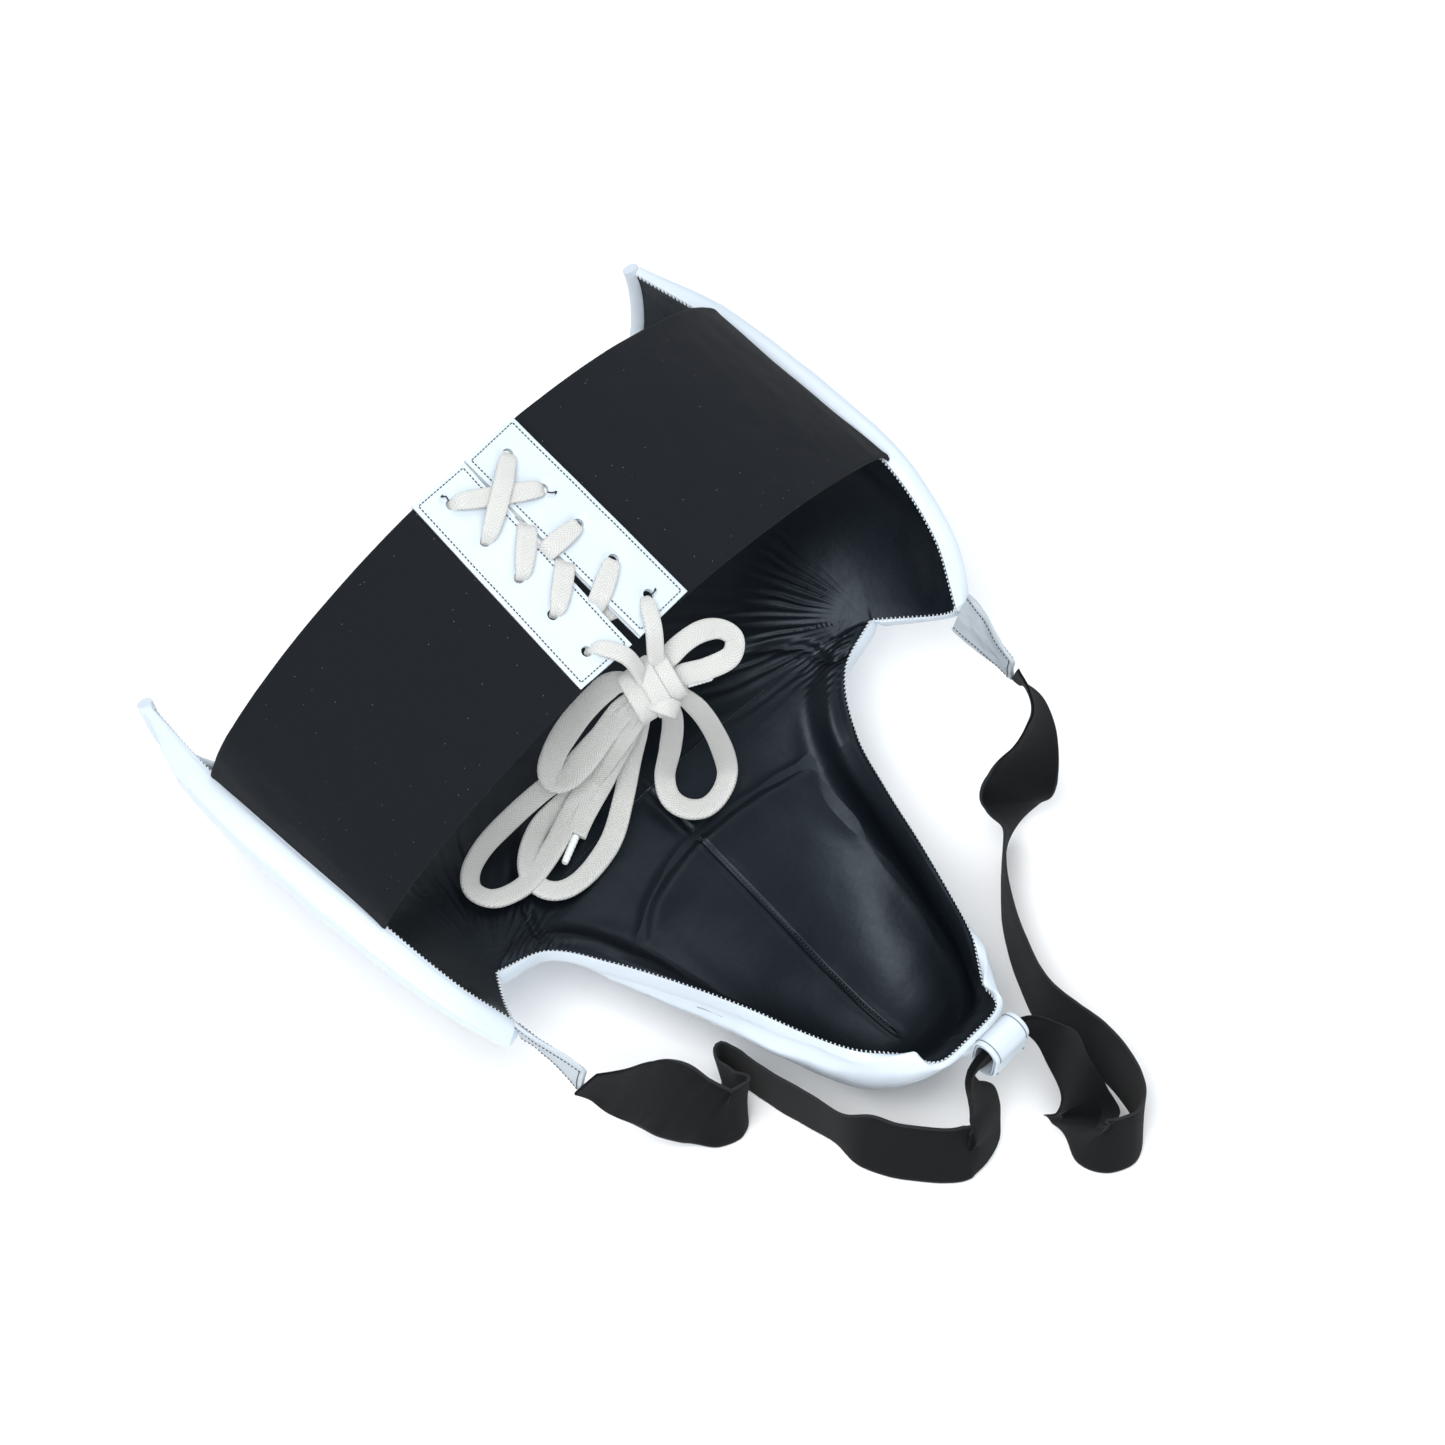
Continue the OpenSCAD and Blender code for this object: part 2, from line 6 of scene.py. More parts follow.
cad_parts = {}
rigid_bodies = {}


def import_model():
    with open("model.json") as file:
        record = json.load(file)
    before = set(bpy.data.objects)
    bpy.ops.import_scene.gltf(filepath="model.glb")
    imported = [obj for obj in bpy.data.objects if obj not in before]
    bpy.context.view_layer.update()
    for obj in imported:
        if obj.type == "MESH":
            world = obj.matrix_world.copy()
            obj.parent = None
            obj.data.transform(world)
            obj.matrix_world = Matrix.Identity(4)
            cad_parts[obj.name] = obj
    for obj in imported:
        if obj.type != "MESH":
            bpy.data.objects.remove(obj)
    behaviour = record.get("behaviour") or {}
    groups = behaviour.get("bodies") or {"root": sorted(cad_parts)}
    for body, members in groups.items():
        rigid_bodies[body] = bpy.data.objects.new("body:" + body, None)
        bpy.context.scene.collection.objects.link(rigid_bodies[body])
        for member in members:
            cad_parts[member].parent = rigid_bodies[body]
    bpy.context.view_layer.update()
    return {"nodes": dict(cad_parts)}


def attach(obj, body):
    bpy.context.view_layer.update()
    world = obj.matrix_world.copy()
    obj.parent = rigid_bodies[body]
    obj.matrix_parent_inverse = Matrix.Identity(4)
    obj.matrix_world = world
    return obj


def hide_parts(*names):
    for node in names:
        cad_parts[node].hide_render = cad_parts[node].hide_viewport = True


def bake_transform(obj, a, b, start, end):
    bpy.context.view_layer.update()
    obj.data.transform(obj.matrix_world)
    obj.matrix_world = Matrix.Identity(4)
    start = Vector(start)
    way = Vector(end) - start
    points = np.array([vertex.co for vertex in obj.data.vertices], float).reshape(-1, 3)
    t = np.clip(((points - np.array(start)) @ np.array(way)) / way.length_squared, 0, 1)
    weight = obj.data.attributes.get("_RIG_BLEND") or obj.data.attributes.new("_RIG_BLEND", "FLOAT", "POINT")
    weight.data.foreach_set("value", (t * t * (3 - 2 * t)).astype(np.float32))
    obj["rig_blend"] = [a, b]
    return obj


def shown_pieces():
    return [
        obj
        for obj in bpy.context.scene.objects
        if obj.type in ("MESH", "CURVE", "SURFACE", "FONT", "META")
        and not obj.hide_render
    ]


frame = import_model()
scene = bpy.context.scene
MM = 0.001
D = np.pi / 180
rng = np.random.default_rng(7)


# ---- camera: the photo's viewing direction, nearly parallel ----
RIGHT = np.array([0.66653, -0.74139, 0.07792])
BACK = np.array([-0.40602, -0.27337, 0.87202])
BACK /= np.linalg.norm(BACK)
RIGHT -= BACK * (RIGHT @ BACK)
RIGHT /= np.linalg.norm(RIGHT)
UP = np.cross(BACK, RIGHT)
CAM_AT = np.array([0.0366, 0.1501, 0.1008])
CAM_DISTANCE = 4.0
SENSOR = 36.0
VIEW_WIDTH = 1445 / 1880
cam_data = bpy.data.cameras.new("camera")
cam = bpy.data.objects.new("camera", cam_data)
scene.collection.objects.link(cam)
cam_data.sensor_width = SENSOR
cam_data.lens = SENSOR * CAM_DISTANCE / VIEW_WIDTH
cam_data.clip_end = 50
turn = Matrix((RIGHT, UP, BACK)).transposed().to_4x4()
cam.matrix_world = Matrix.Translation(CAM_AT + BACK * CAM_DISTANCE) @ turn
scene.camera = cam


# ---- tables and smooth curves, in millimetres: x, run (from the hem towards the tip), z ----
REST_RUN = 355.0
LEG_SHARE = 0.653
WAIST_ROWS = np.array([
    [0.0, 188, 148, 14, 12, 6], [0.2, 195, 149, 24, 19, 11], [0.45, 197, 148, 40, 24, 12],
    [0.7, 196, 145, 53, 24, 11], [0.88, 188, 128, 57, 22, 10], [1.0, 174, 107, 57, 19, 9]], float)
APEX_X = 174 * np.sin(90 * LEG_SHARE * D)
APEX_Z = 107 - 50 * np.cos(90 * LEG_SHARE * D)
CUP_ROWS = np.array([
    [0.0, APEX_X, 214, APEX_Z, 190, 57], [0.1, 119, 223, 76, 214, 53], [0.25, 97, 251, 69, 248, 45],
    [0.4, 82, 285, 71, 288, 34], [0.55, 69, 321, 73, 325, 23], [0.7, 58, 352, 71, 358, 18],
    [0.82, 48, 376, 71, 383, 23], [0.92, 38, 390, 72, 403, 48], [1.0, 28, 402, 73, 417, 76]], float)
EDGE_T = np.array([[0, 9], [0.6, 9], [0.85, 6], [1, 3.6]], float)
MORE_T = np.array([[0, 10], [0.5, 8.8], [0.8, 8.8], [1, 1]], float)


def smooth(rows, t):
    """Smooth curve through the rows of a table whose first column is the parameter."""
    t = np.asarray(t, float)
    last = len(rows) - 1
    after = rows[np.minimum(np.arange(last + 1) + 1, last)]
    before = rows[np.maximum(np.arange(last + 1) - 1, 0)]
    slope = (after - before) / (after[:, :1] - before[:, :1])
    i = np.clip(np.searchsorted(rows[:, 0], t, side="right") - 1, 0, last - 1)
    p, q = rows[i], rows[i + 1]
    h = (q[..., 0] - p[..., 0])[..., None]
    s = (t - p[..., 0])[..., None] / h
    return ((2 * s**3 - 3 * s**2 + 1) * p + (s**3 - 2 * s**2 + s) * h * slope[i]
            + (3 * s**2 - 2 * s**3) * q + (s**3 - s**2) * h * slope[i + 1])


def curve(points, n):
    """n + 1 points of a smooth curve through the given points, evenly spaced."""
    pts = np.asarray(points, float)
    rows = np.column_stack([np.arange(len(pts)), pts])
    fine = smooth(rows, np.linspace(0, len(pts) - 1, 40 * len(pts)))[:, 1:]
    so_far = lengths(fine[:, :3])
    at = np.linspace(0, so_far[-1], n + 1)
    return np.column_stack([np.interp(at, so_far, fine[:, k]) for k in range(fine.shape[1])])


def lengths(path):
    """Length along a path up to each of its points."""
    return np.r_[0, np.cumsum(np.linalg.norm(np.diff(path, axis=0), axis=1))]


def to_frame(p):
    """x, run, z in millimetres to the shared frame, still in millimetres."""
    p = np.array(p, float)
    p[..., 1] = REST_RUN - p[..., 1]
    return p


def waist_pt(a, b):
    r = smooth(WAIST_ROWS, b)
    dip = 45 * np.cos(89.9 * a * D) ** 0.8
    out = np.clip((np.abs(a) - LEG_SHARE) / (1 - LEG_SHARE), 0, 1)
    flex, leg = 190 + 24 * (a / LEG_SHARE) ** 2, 214 + 36 * np.sin(90 * out * D)
    low = np.where(np.abs(a) < LEG_SHARE, flex, leg)
    return np.stack([r[..., 1] * np.sin(90 * a * D), REST_RUN - dip - b * (low - dip),
                     r[..., 2] - (r[..., 2] - r[..., 3]) * np.cos(90 * a * D)], -1)


def waist_t(a, b):
    r = smooth(WAIST_ROWS, b)
    return r[..., 5] + (r[..., 4] - r[..., 5]) * np.cos(89.9 * a * D) ** 1.5


def cup_pt(a, b):
    r = smooth(CUP_ROWS, b)
    opening = 90 * np.minimum(1, LEG_SHARE + (1 - LEG_SHARE) * b / 0.25) * D
    side = np.sin(opening * a) / np.sin(opening)
    dip = (np.cos(opening * a) - np.cos(opening)) / (1 - np.cos(opening))
    pull = np.maximum(np.abs(a), 1e-6) ** np.where(b > 0.7, 2 + 6 * (b - 0.7), 2)
    return np.stack([r[..., 1] * side, REST_RUN - (r[..., 4] + (r[..., 2] - r[..., 4]) * pull),
                     r[..., 3] - (r[..., 3] - r[..., 5]) * dip], -1)


def cup_t(a, b):
    return smooth(EDGE_T, b)[..., 1] + smooth(MORE_T, b)[..., 1] * np.cos(89.9 * a * D) ** 1.5


# ---- noise, normals and distances ----
def lattice(x, y, seed):
    """Smooth random field from -1 to 1 with unit cells."""
    table = np.random.default_rng(seed).uniform(-1, 1, (97, 89))
    i, j = np.floor(x).astype(int), np.floor(y).astype(int)
    u, v = x - i, y - j
    u, v = u * u * (3 - 2 * u), v * v * (3 - 2 * v)
    pick = lambda m, n: table[m % 97, n % 89]
    return ((1 - u) * (1 - v) * pick(i, j) + u * (1 - v) * pick(i + 1, j)
            + (1 - u) * v * pick(i, j + 1) + u * v * pick(i + 1, j + 1))


def fbm(x, y, seed, octaves=3):
    return sum(lattice(x * 2**k, y * 2**k, seed + k) / 2**k for k in range(octaves))


def unit(v):
    return v / np.maximum(np.linalg.norm(v, axis=-1, keepdims=True), 1e-9)


def normals(g):
    """Outward normals of a grid, as in the solids: away from the wearer."""
    across, along = np.gradient(g, axis=1), np.gradient(g, axis=0)
    return unit(np.cross(across, along))


def near(p, line, width):
    """1 on a line of points, falling to 0 with distance."""
    best = np.full(p.shape[:-1], 1e9)
    for s, e in zip(line[:-1], line[1:]):
        d = e - s
        t = np.clip(((p - s) @ d) / (d @ d), 0, 1)
        best = np.minimum(best, np.linalg.norm(p - (s + t[..., None] * d), axis=-1))
    return np.exp(-(best / width) ** 2)


def step(x, low, high):
    t = np.clip((x - low) / (high - low), 0, 1)
    return t * t * (3 - 2 * t)


# ---- meshes ----
def mesh_object(name, verts, faces, material, uv=None, smooth_angle=None):
    mesh = bpy.data.meshes.new(name)
    mesh.from_pydata((np.asarray(verts) * MM).tolist(), [], faces)
    mesh.validate()
    if uv is not None:
        layer = mesh.uv_layers.new(name="UVMap")
        index = np.empty(len(mesh.loops), int)
        mesh.loops.foreach_get("vertex_index", index)
        layer.data.foreach_set("uv", np.asarray(uv, float)[index].ravel())
    obj = bpy.data.objects.new(name, mesh)
    scene.collection.objects.link(obj)
    mesh.materials.append(material)
    mesh.shade_smooth()
    if smooth_angle:
        mesh.set_sharp_from_angle(angle=smooth_angle * D)
    return obj


def shell_data(inner, outer):
    """Closed solid between two grids of the same size."""
    n, m = inner.shape[:2]
    idx = np.arange(n * m).reshape(n, m)
    top = n * m
    a, b, c, d = idx[:-1, :-1], idx[:-1, 1:], idx[1:, 1:], idx[1:, :-1]
    q = np.stack([a, b, c, d], -1).reshape(-1, 4)
    rim = np.concatenate([idx[0, :], idx[1:, -1], idx[-1, -2::-1], idx[-2:0:-1, 0]])
    nxt = np.roll(rim, -1)
    walls = np.stack([nxt, rim, rim + top, nxt + top], -1)
    faces = np.concatenate([q[:, ::-1], q + top, walls[:, ::-1]])
    return np.concatenate([inner.reshape(-1, 3), outer.reshape(-1, 3)]), faces[:, ::-1].tolist()


def shell(name, inner, outer, material, uv=None, angle=50):
    verts, faces = shell_data(inner, outer)
    if uv is not None:
        uv = np.concatenate([uv.reshape(-1, 2)] * 2)
    return mesh_object(name, verts, faces, material, uv, angle)


def sweep_data(path, side, width, thick, profile):
    """Tube along a path; profile is a loop of (share of half width, share of half thickness)."""
    path = np.asarray(path, float)
    n, k = len(path), len(profile)
    d = unit(np.gradient(path, axis=0))
    thin = unit(np.cross(d, side))
    wide = np.cross(thin, d)
    w = np.broadcast_to(width, n)[:, None, None] / 2
    t = np.broadcast_to(thick, n)[:, None, None] / 2
    rings = path[:, None] + wide[:, None] * w * profile[:, :1] + thin[:, None] * t * profile[:, 1:]
    idx = np.arange(n * k).reshape(n, k)
    nxt = np.roll(idx, -1, axis=1)
    walls = np.stack([idx[:-1], nxt[:-1], nxt[1:], idx[1:]], -1).reshape(-1, 4)
    verts = np.concatenate([rings.reshape(-1, 3), path[:1], path[-1:]])
    faces = walls.tolist()
    faces += [[n * k, nxt[0, j], idx[0, j]] for j in range(k)]
    faces += [[n * k + 1, idx[-1, j], nxt[-1, j]] for j in range(k)]
    along = lengths(path)
    across = profile[:, 0][None] * np.broadcast_to(width, n)[:, None] / 2
    uv = np.stack([np.broadcast_to(along[:, None], (n, k)), across], -1).reshape(-1, 2)
    return verts, faces, np.concatenate([uv, [[0, 0], [along[-1], 0]]])


def sweep(name, path, side, width, thick, profile, material, angle=60):
    verts, faces, uv = sweep_data(path, side, width, thick, profile)
    return mesh_object(name, verts, faces, material, uv, angle)


def merged(name, parts, material, angle=60):
    """One mesh from several (verts, faces, uv) parts."""
    verts, faces, uvs, base = [], [], [], 0
    for v, f, uv in parts:
        verts.append(v)
        uvs.append(uv)
        faces += [[i + base for i in face] for face in f]
        base += len(v)
    return mesh_object(name, np.concatenate(verts), faces, material, np.concatenate(uvs), angle)


def oval(k, power=1.0):
    q = 2 * np.pi * (np.arange(k) + 0.5) / k
    c, s = np.cos(q), np.sin(q)
    return np.stack([np.sign(c) * np.abs(c) ** power, np.sign(s) * np.abs(s) ** power], -1)


def lace_profile(k=36):
    """Flat tubular lace: two rounded halves with a crease between them."""
    p = oval(k, 0.55)
    p[:, 1] *= 1 - 0.5 * np.exp(-(p[:, 0] / 0.2) ** 2)
    return p


def ribbon_profile(k=20):
    """Flat band with rounded edges."""
    return oval(k, 0.35)


def stacked(rows):
    """Rows of (points, directions, normals) joined into one array each."""
    return [np.concatenate(column) for column in zip(*rows)]


def stitches(name, points, along, out, length, radius, material, lift=0.0):
    """Short thread stitches, from points on the surface with the thread's direction and the normal."""
    ring = oval(6)
    parts = []
    for p, d, n in zip(points, unit(np.asarray(along)), unit(np.asarray(out))):
        jitter = rng.uniform(-0.06, 0.06, 2)
        s = np.array([-0.5, -0.3, 0, 0.3, 0.5])
        rise = np.array([-0.8, 0.4, 0.9, 0.4, -0.8]) * radius
        body = p + np.outer(s * length * (1 + jitter[0]), d) + np.outer(rise, n) + n * lift
        w = np.array([0.6, 1, 1.05, 1, 0.6]) * 2 * radius
        parts.append(sweep_data(body, np.broadcast_to(np.cross(d, n), body.shape), w, w, ring))
    return merged(name, parts, material, None)


# ---- materials ----
def node_tree(name):
    m = bpy.data.materials.new(name)
    m.use_nodes = True
    return m, m.node_tree, m.node_tree.nodes["Principled BSDF"]


def dress(shader, **values):
    """Set the shader's own sockets: base_color is its input "Base Color"."""
    for k, v in values.items():
        shader.inputs[k.replace("_", " ").title().replace("Ior", "IOR")].default_value = v


def add(tree, kind, inputs=None, **props):
    n = tree.nodes.new(kind)
    for k, v in props.items():
        setattr(n, k, v)
    for k, v in (inputs or {}).items():
        if isinstance(v, bpy.types.NodeSocket):
            tree.links.new(v, n.inputs[k])
        else:
            n.inputs[k].default_value = v
    return n


def math_node(tree, op, a, b=0.0, c=0.0):
    return add(tree, "ShaderNodeMath", {0: a, 1: b, 2: c}, operation=op).outputs[0]


def mix(tree, fac, a, b):
    n = add(tree, "ShaderNodeMix", data_type="RGBA")
    for k, v in ((0, fac), (6, a), (7, b)):
        if isinstance(v, bpy.types.NodeSocket):
            tree.links.new(v, n.inputs[k])
        else:
            n.inputs[k].default_value = v
    return n.outputs[2]


def coords(tree, uv=False):
    """Object coordinates in metres, or the mesh's own UV coordinates, which are in millimetres."""
    return add(tree, "ShaderNodeTexCoord").outputs["UV" if uv else "Object"]


def noise(tree, scale, detail, uv=False, roughness=0.5):
    """Noise of so many cells a metre, or a millimetre with uv."""
    spec = {"Vector": coords(tree, uv), "Scale": scale, "Detail": detail, "Roughness": roughness}
    return add(tree, "ShaderNodeTexNoise", spec).outputs[0]


def cells(tree, scale, uv=False):
    return add(tree, "ShaderNodeTexVoronoi", {"Vector": coords(tree, uv), "Scale": scale})


def shade(colour, by=1.0):
    return (*[c * by for c in colour], 1)


def bump(tree, height, strength, distance, normal=None):
    n = add(tree, "ShaderNodeBump", {"Height": height, "Strength": strength, "Distance": distance})
    if normal is not None:
        tree.links.new(normal, n.inputs["Normal"])
    return n.outputs[0]


def leather(name, dark, light, rough, grain=0.25, grain_scale=900, coat=0.0, specular=0.5):
    m, t, p = node_tree(name)
    t.links.new(mix(t, noise(t, 22, 4), shade(dark), shade(light)), p.inputs["Base Color"])
    fine = noise(t, 260, 5)
    creases = bump(t, fine, grain, 0.0006)
    pores = bump(t, cells(t, grain_scale).outputs[0], grain * 0.6, 0.00015, creases)
    t.links.new(bump(t, noise(t, 55, 3), grain * 0.7, 0.0016, pores), p.inputs["Normal"])
    rough_mix = add(t, "ShaderNodeMapRange", {0: fine, 3: rough - 0.06, 4: rough + 0.08})
    t.links.new(rough_mix.outputs[0], p.inputs["Roughness"])
    dress(p, coat_weight=coat, coat_roughness=0.25, specular_ior_level=specular)
    return m


def woven(name, base, ribs_u, ribs_v, specular, lint=None, edge=None, half=22.0):
    """Woven band in UV millimetres: ribs_u and ribs_v threads per millimetre along and across."""
    m, t, p = node_tree(name)
    sep = add(t, "ShaderNodeSeparateXYZ", {0: coords(t, uv=True)})
    wobble = noise(t, 0.24, 3, uv=True)
    u = math_node(t, "MULTIPLY_ADD", sep.outputs[0], 2 * np.pi * ribs_u, wobble)
    v = math_node(t, "MULTIPLY_ADD", sep.outputs[1], 2 * np.pi * ribs_v, wobble)
    weave = math_node(t, "MULTIPLY", math_node(t, "SINE", u), math_node(t, "SINE", v))
    height = math_node(t, "MULTIPLY_ADD", weave, 0.35, noise(t, 2.2, 6, uv=True, roughness=0.7))
    t.links.new(bump(t, height, 0.8, 0.0003), p.inputs["Normal"])
    tone = add(t, "ShaderNodeMapRange", {0: height, 1: 0.25, 2: 0.85})
    colour = mix(t, tone.outputs[0], shade(base, 0.55), shade(base, 1.5))
    if lint:
        specks = cells(t, 0.33, uv=True)
        gate = add(t, "ShaderNodeTexWhiteNoise", {"Vector": specks.outputs["Color"]})
        near_dot = math_node(t, "LESS_THAN", specks.outputs["Distance"], 0.075)
        chosen = math_node(t, "GREATER_THAN", gate.outputs["Value"], 0.84)
        colour = mix(t, math_node(t, "MULTIPLY", near_dot, chosen), colour, shade(lint))
    if edge:
        away = math_node(t, "ABSOLUTE", sep.outputs[1])
        line = math_node(t, "GREATER_THAN", away, half - 1.3)
        colour = mix(t, math_node(t, "MULTIPLY", line, 0.55), colour, shade(edge))
    t.links.new(colour, p.inputs["Base Color"])
    dress(p, roughness=0.88, sheen_weight=0.06, sheen_roughness=0.5, specular_ior_level=specular)
    return m


def cotton(name, base):
    """Braided cotton in UV millimetres: slanted threads in narrow columns."""
    m, t, p = node_tree(name)
    sep = add(t, "ShaderNodeSeparateXYZ", {0: coords(t, uv=True)})
    slant = math_node(t, "ABSOLUTE", sep.outputs[1])
    wave = math_node(t, "MULTIPLY_ADD", slant, 3.4, math_node(t, "MULTIPLY", sep.outputs[0], 3.3))
    cols = math_node(t, "SINE", math_node(t, "MULTIPLY", sep.outputs[1], 3.1))
    braid = math_node(t, "MULTIPLY", math_node(t, "SINE", wave), math_node(t, "ABSOLUTE", cols))
    height = math_node(t, "MULTIPLY_ADD", braid, 0.3, noise(t, 3.0, 6, uv=True, roughness=0.75))
    t.links.new(bump(t, height, 0.9, 0.0007), p.inputs["Normal"])
    tone = add(t, "ShaderNodeMapRange", {0: height, 1: 0.1, 2: 0.9})
    t.links.new(mix(t, tone.outputs[0], shade(base, 0.7), shade(base)), p.inputs["Base Color"])
    dress(p, roughness=0.92, sheen_weight=0.3, subsurface_weight=0.12, subsurface_scale=1.0,
          subsurface_radius=(0.002, 0.0015, 0.001))
    return m


def foam(name, base, scale, rough=0.9):
    m, t, p = node_tree(name)
    t.links.new(bump(t, cells(t, scale).outputs[0], 0.5, 0.0004), p.inputs["Normal"])
    t.links.new(mix(t, noise(t, scale * 0.3, 6), shade(base, 0.8), shade(base)), p.inputs["Base Color"])
    dress(p, roughness=rough)
    return m


def thread(name, base):
    m, t, p = node_tree(name)
    twist = add(t, "ShaderNodeTexWave", {"Vector": coords(t), "Scale": 900, "Distortion": 1})
    t.links.new(bump(t, twist.outputs[0], 0.5, 0.0001), p.inputs["Normal"])
    t.links.new(mix(t, twist.outputs[0], shade(base, 0.7), shade(base)), p.inputs["Base Color"])
    dress(p, roughness=0.7)
    return m


def clear_plastic(name, base):
    m, t, p = node_tree(name)
    t.links.new(bump(t, noise(t, 400, 3), 0.3, 0.0002), p.inputs["Normal"])
    dress(p, base_color=shade(base), roughness=0.25, subsurface_weight=0.3,
          subsurface_radius=(0.002, 0.002, 0.002))
    return m


WHITE = leather("white_leather", (0.55, 0.62, 0.69), (0.61, 0.68, 0.75), 0.42, 0.16, coat=0.15)
PANEL = leather("panel_leather", (0.53, 0.595, 0.65), (0.58, 0.65, 0.705), 0.46, 0.14, coat=0.1)
GREY = leather("grey_leather", (0.38, 0.44, 0.50), (0.46, 0.52, 0.58), 0.55, 0.2)
TAB = leather("tab_leather", (0.36, 0.40, 0.44), (0.46, 0.51, 0.55), 0.5, 0.3)
LINING = leather("dark_lining", (0.0022, 0.0035, 0.0055), (0.004, 0.006, 0.009), 0.40, 0.2, 1200,
                 coat=0.04, specular=0.24)
dress(LINING.node_tree.nodes["Principled BSDF"], specular_tint=(0.7, 0.86, 1.0, 1))
ELASTIC = woven("belt_elastic", (0.0075, 0.0095, 0.013), 0.9, 1.3, 0.12, lint=(0.16, 0.18, 0.2))
STRAP = woven("strap_elastic", (0.0035, 0.004, 0.005), 1.1, 0.9, 0.06, edge=(0.035, 0.04, 0.045))
LACE = cotton("cotton_lace", (0.755, 0.76, 0.735))
FOAM = foam("foam", (0.32, 0.34, 0.37), 1400)
SHELL = foam("cup_shell", (0.58, 0.61, 0.64), 500, 0.45)
THREAD_DARK = thread("thread_dark", (0.02, 0.024, 0.03))
THREAD_WHITE = thread("thread_white", (0.72, 0.78, 0.82))
THREAD_NAVY = thread("thread_navy", (0.03, 0.038, 0.05))
THREAD_GREY = thread("thread_grey", (0.2, 0.22, 0.25))
AGLET = clear_plastic("aglet_plastic", (0.82, 0.86, 0.86))


# ---- relief of the lining: how far it rises towards the wearer, in millimetres ----
def fan(p, side):
    """Fine creases that run from a leg root up towards the belt."""
    x = p[..., 0] * side
    away_x, away_r = 150 - x, (p[..., 1] - (REST_RUN - 212))
    r = np.hypot(away_x, away_r)
    q = np.arctan2(away_x, away_r)
    warp = 0.03 * fbm(r / 34, q * 3, 3 if side > 0 else 4, 2)
    ridges = np.sin((q + warp) * 62) + 0.4 * np.sin((q + 1.4 * warp) * 97 + 1)
    ridges *= 0.6 + 0.4 * lattice(r / 40, q * 6, 5)
    window = step(r, 5, 22) * (1 - step(r, 70, 135)) * step(q, -0.15, 0.15) * (1 - step(q, 1.25, 1.6))
    return 0.5 * ridges * window


def crossing_lines(p, side, b):
    """Short parallel creases across the edge roll at a leg root."""
    x = p[..., 0] * side
    window = np.exp(-((x - 122) / 16) ** 2) * (1 - step(b, 0.08, 0.2))
    return 0.4 * np.sin(b * 2 * np.pi * 62 + 2 * lattice(x / 9, b * 12, 8)) * window


def line_on(surface, points, n=24):
    ab = curve(points, n)
    return surface(ab[:, 0], ab[:, 1])


FLEX_RIGHT = [waist_pt(0.24, 0.83), waist_pt(0.32, 0.85), waist_pt(0.45, 0.965),
              cup_pt(0.83, 0.05), cup_pt(0.97, 0.06)]
FLEX_LEFT = [waist_pt(-0.34, 0.9), waist_pt(-0.41, 0.985), cup_pt(-0.89, 0.08), cup_pt(-0.98, 0.09)]
CUP_EDGE = line_on(cup_pt, [(-0.47, 0.235), (-0.3, 0.185), (-0.02, 0.153), (0.3, 0.176), (0.52, 0.206)])
FACET_LOW = line_on(cup_pt, [(0.37, 0.2), (0.46, 0.27), (0.55, 0.36)])
SEAM_X, SEAM_END = 0.9, 0.75


def shared_relief(p):
    """Creases and waves that run across both linings."""
    h = np.zeros(p.shape[:-1])
    for line, deep in ((FLEX_RIGHT, 1.5), (FLEX_LEFT, 1.2)):
        line = curve(np.array(line), 30)
        h += 1.2 * near(p, line, 10) - (deep + 1.2) * near(p, line, 3.0)
    for side in (-1, 1):
        h += fan(p, side)
    h += 0.5 * fbm(p[..., 0] / 45, p[..., 1] / 45, 11)
    return h


def arc_from_edges(g):
    """Distance along each row to its nearer end."""
    seg = np.linalg.norm(np.diff(g, axis=1), axis=-1)
    run = np.concatenate([np.zeros((len(g), 1)), np.cumsum(seg, axis=1)], axis=1)
    return np.minimum(run, run[:, -1:] - run)


def cup_relief(g, a, b):
    """Roll and valley along the rim, the edge of the hard cup, the seam and its puckers."""
    tip = np.linalg.norm(np.diff(g, axis=0), axis=-1)
    from_tip = np.concatenate([np.cumsum(tip[::-1], axis=0)[::-1], np.zeros((1, g.shape[1]))])
    side = arc_from_edges(g)
    d = -8 * np.log(np.exp(-side / 8) + np.exp(-from_tip / 8) + 1e-12)
    fade = step(b, 0.02, 0.2)
    roll = 6.5 * np.exp(-((d - 12.5) / 9.5) ** 2) * (0.35 + 0.65 * fade)
    valley = -1.4 * np.exp(-((d - 31) / 7) ** 2) * fade
    h = shared_relief(g) + roll + valley
    beyond = step(b - (0.153 + 0.3 * a**2), -0.012, 0.02) * (1 - step(np.abs(a - 0.03), 0.3, 0.56))
    h += 1.3 * near(g, CUP_EDGE, 12) * beyond - 1.9 * near(g, CUP_EDGE, 3.2)
    h -= 0.7 * near(g, FACET_LOW, 9.0)
    h += crossing_lines(g, -1, b) + crossing_lines(g, 1, b)
    from_seam = np.abs(g[..., 0] + SEAM_X)
    groove = -1.5 * np.exp(-from_seam**2) + 0.5 * np.exp(-((from_seam - 3) / 1.6) ** 2)
    h += groove * (1 - step(b, SEAM_END, SEAM_END + 0.05))
    puckers = np.sin(from_tip * 0.9 + 3 * lattice(g[..., 0] / 7, b * 9, 15))
    h += 0.3 * puckers * np.exp(-((from_tip - 6) / 8) ** 2)
    edge = step(d, 0, 6)
    return h * edge + 0.4 * (1 - edge)


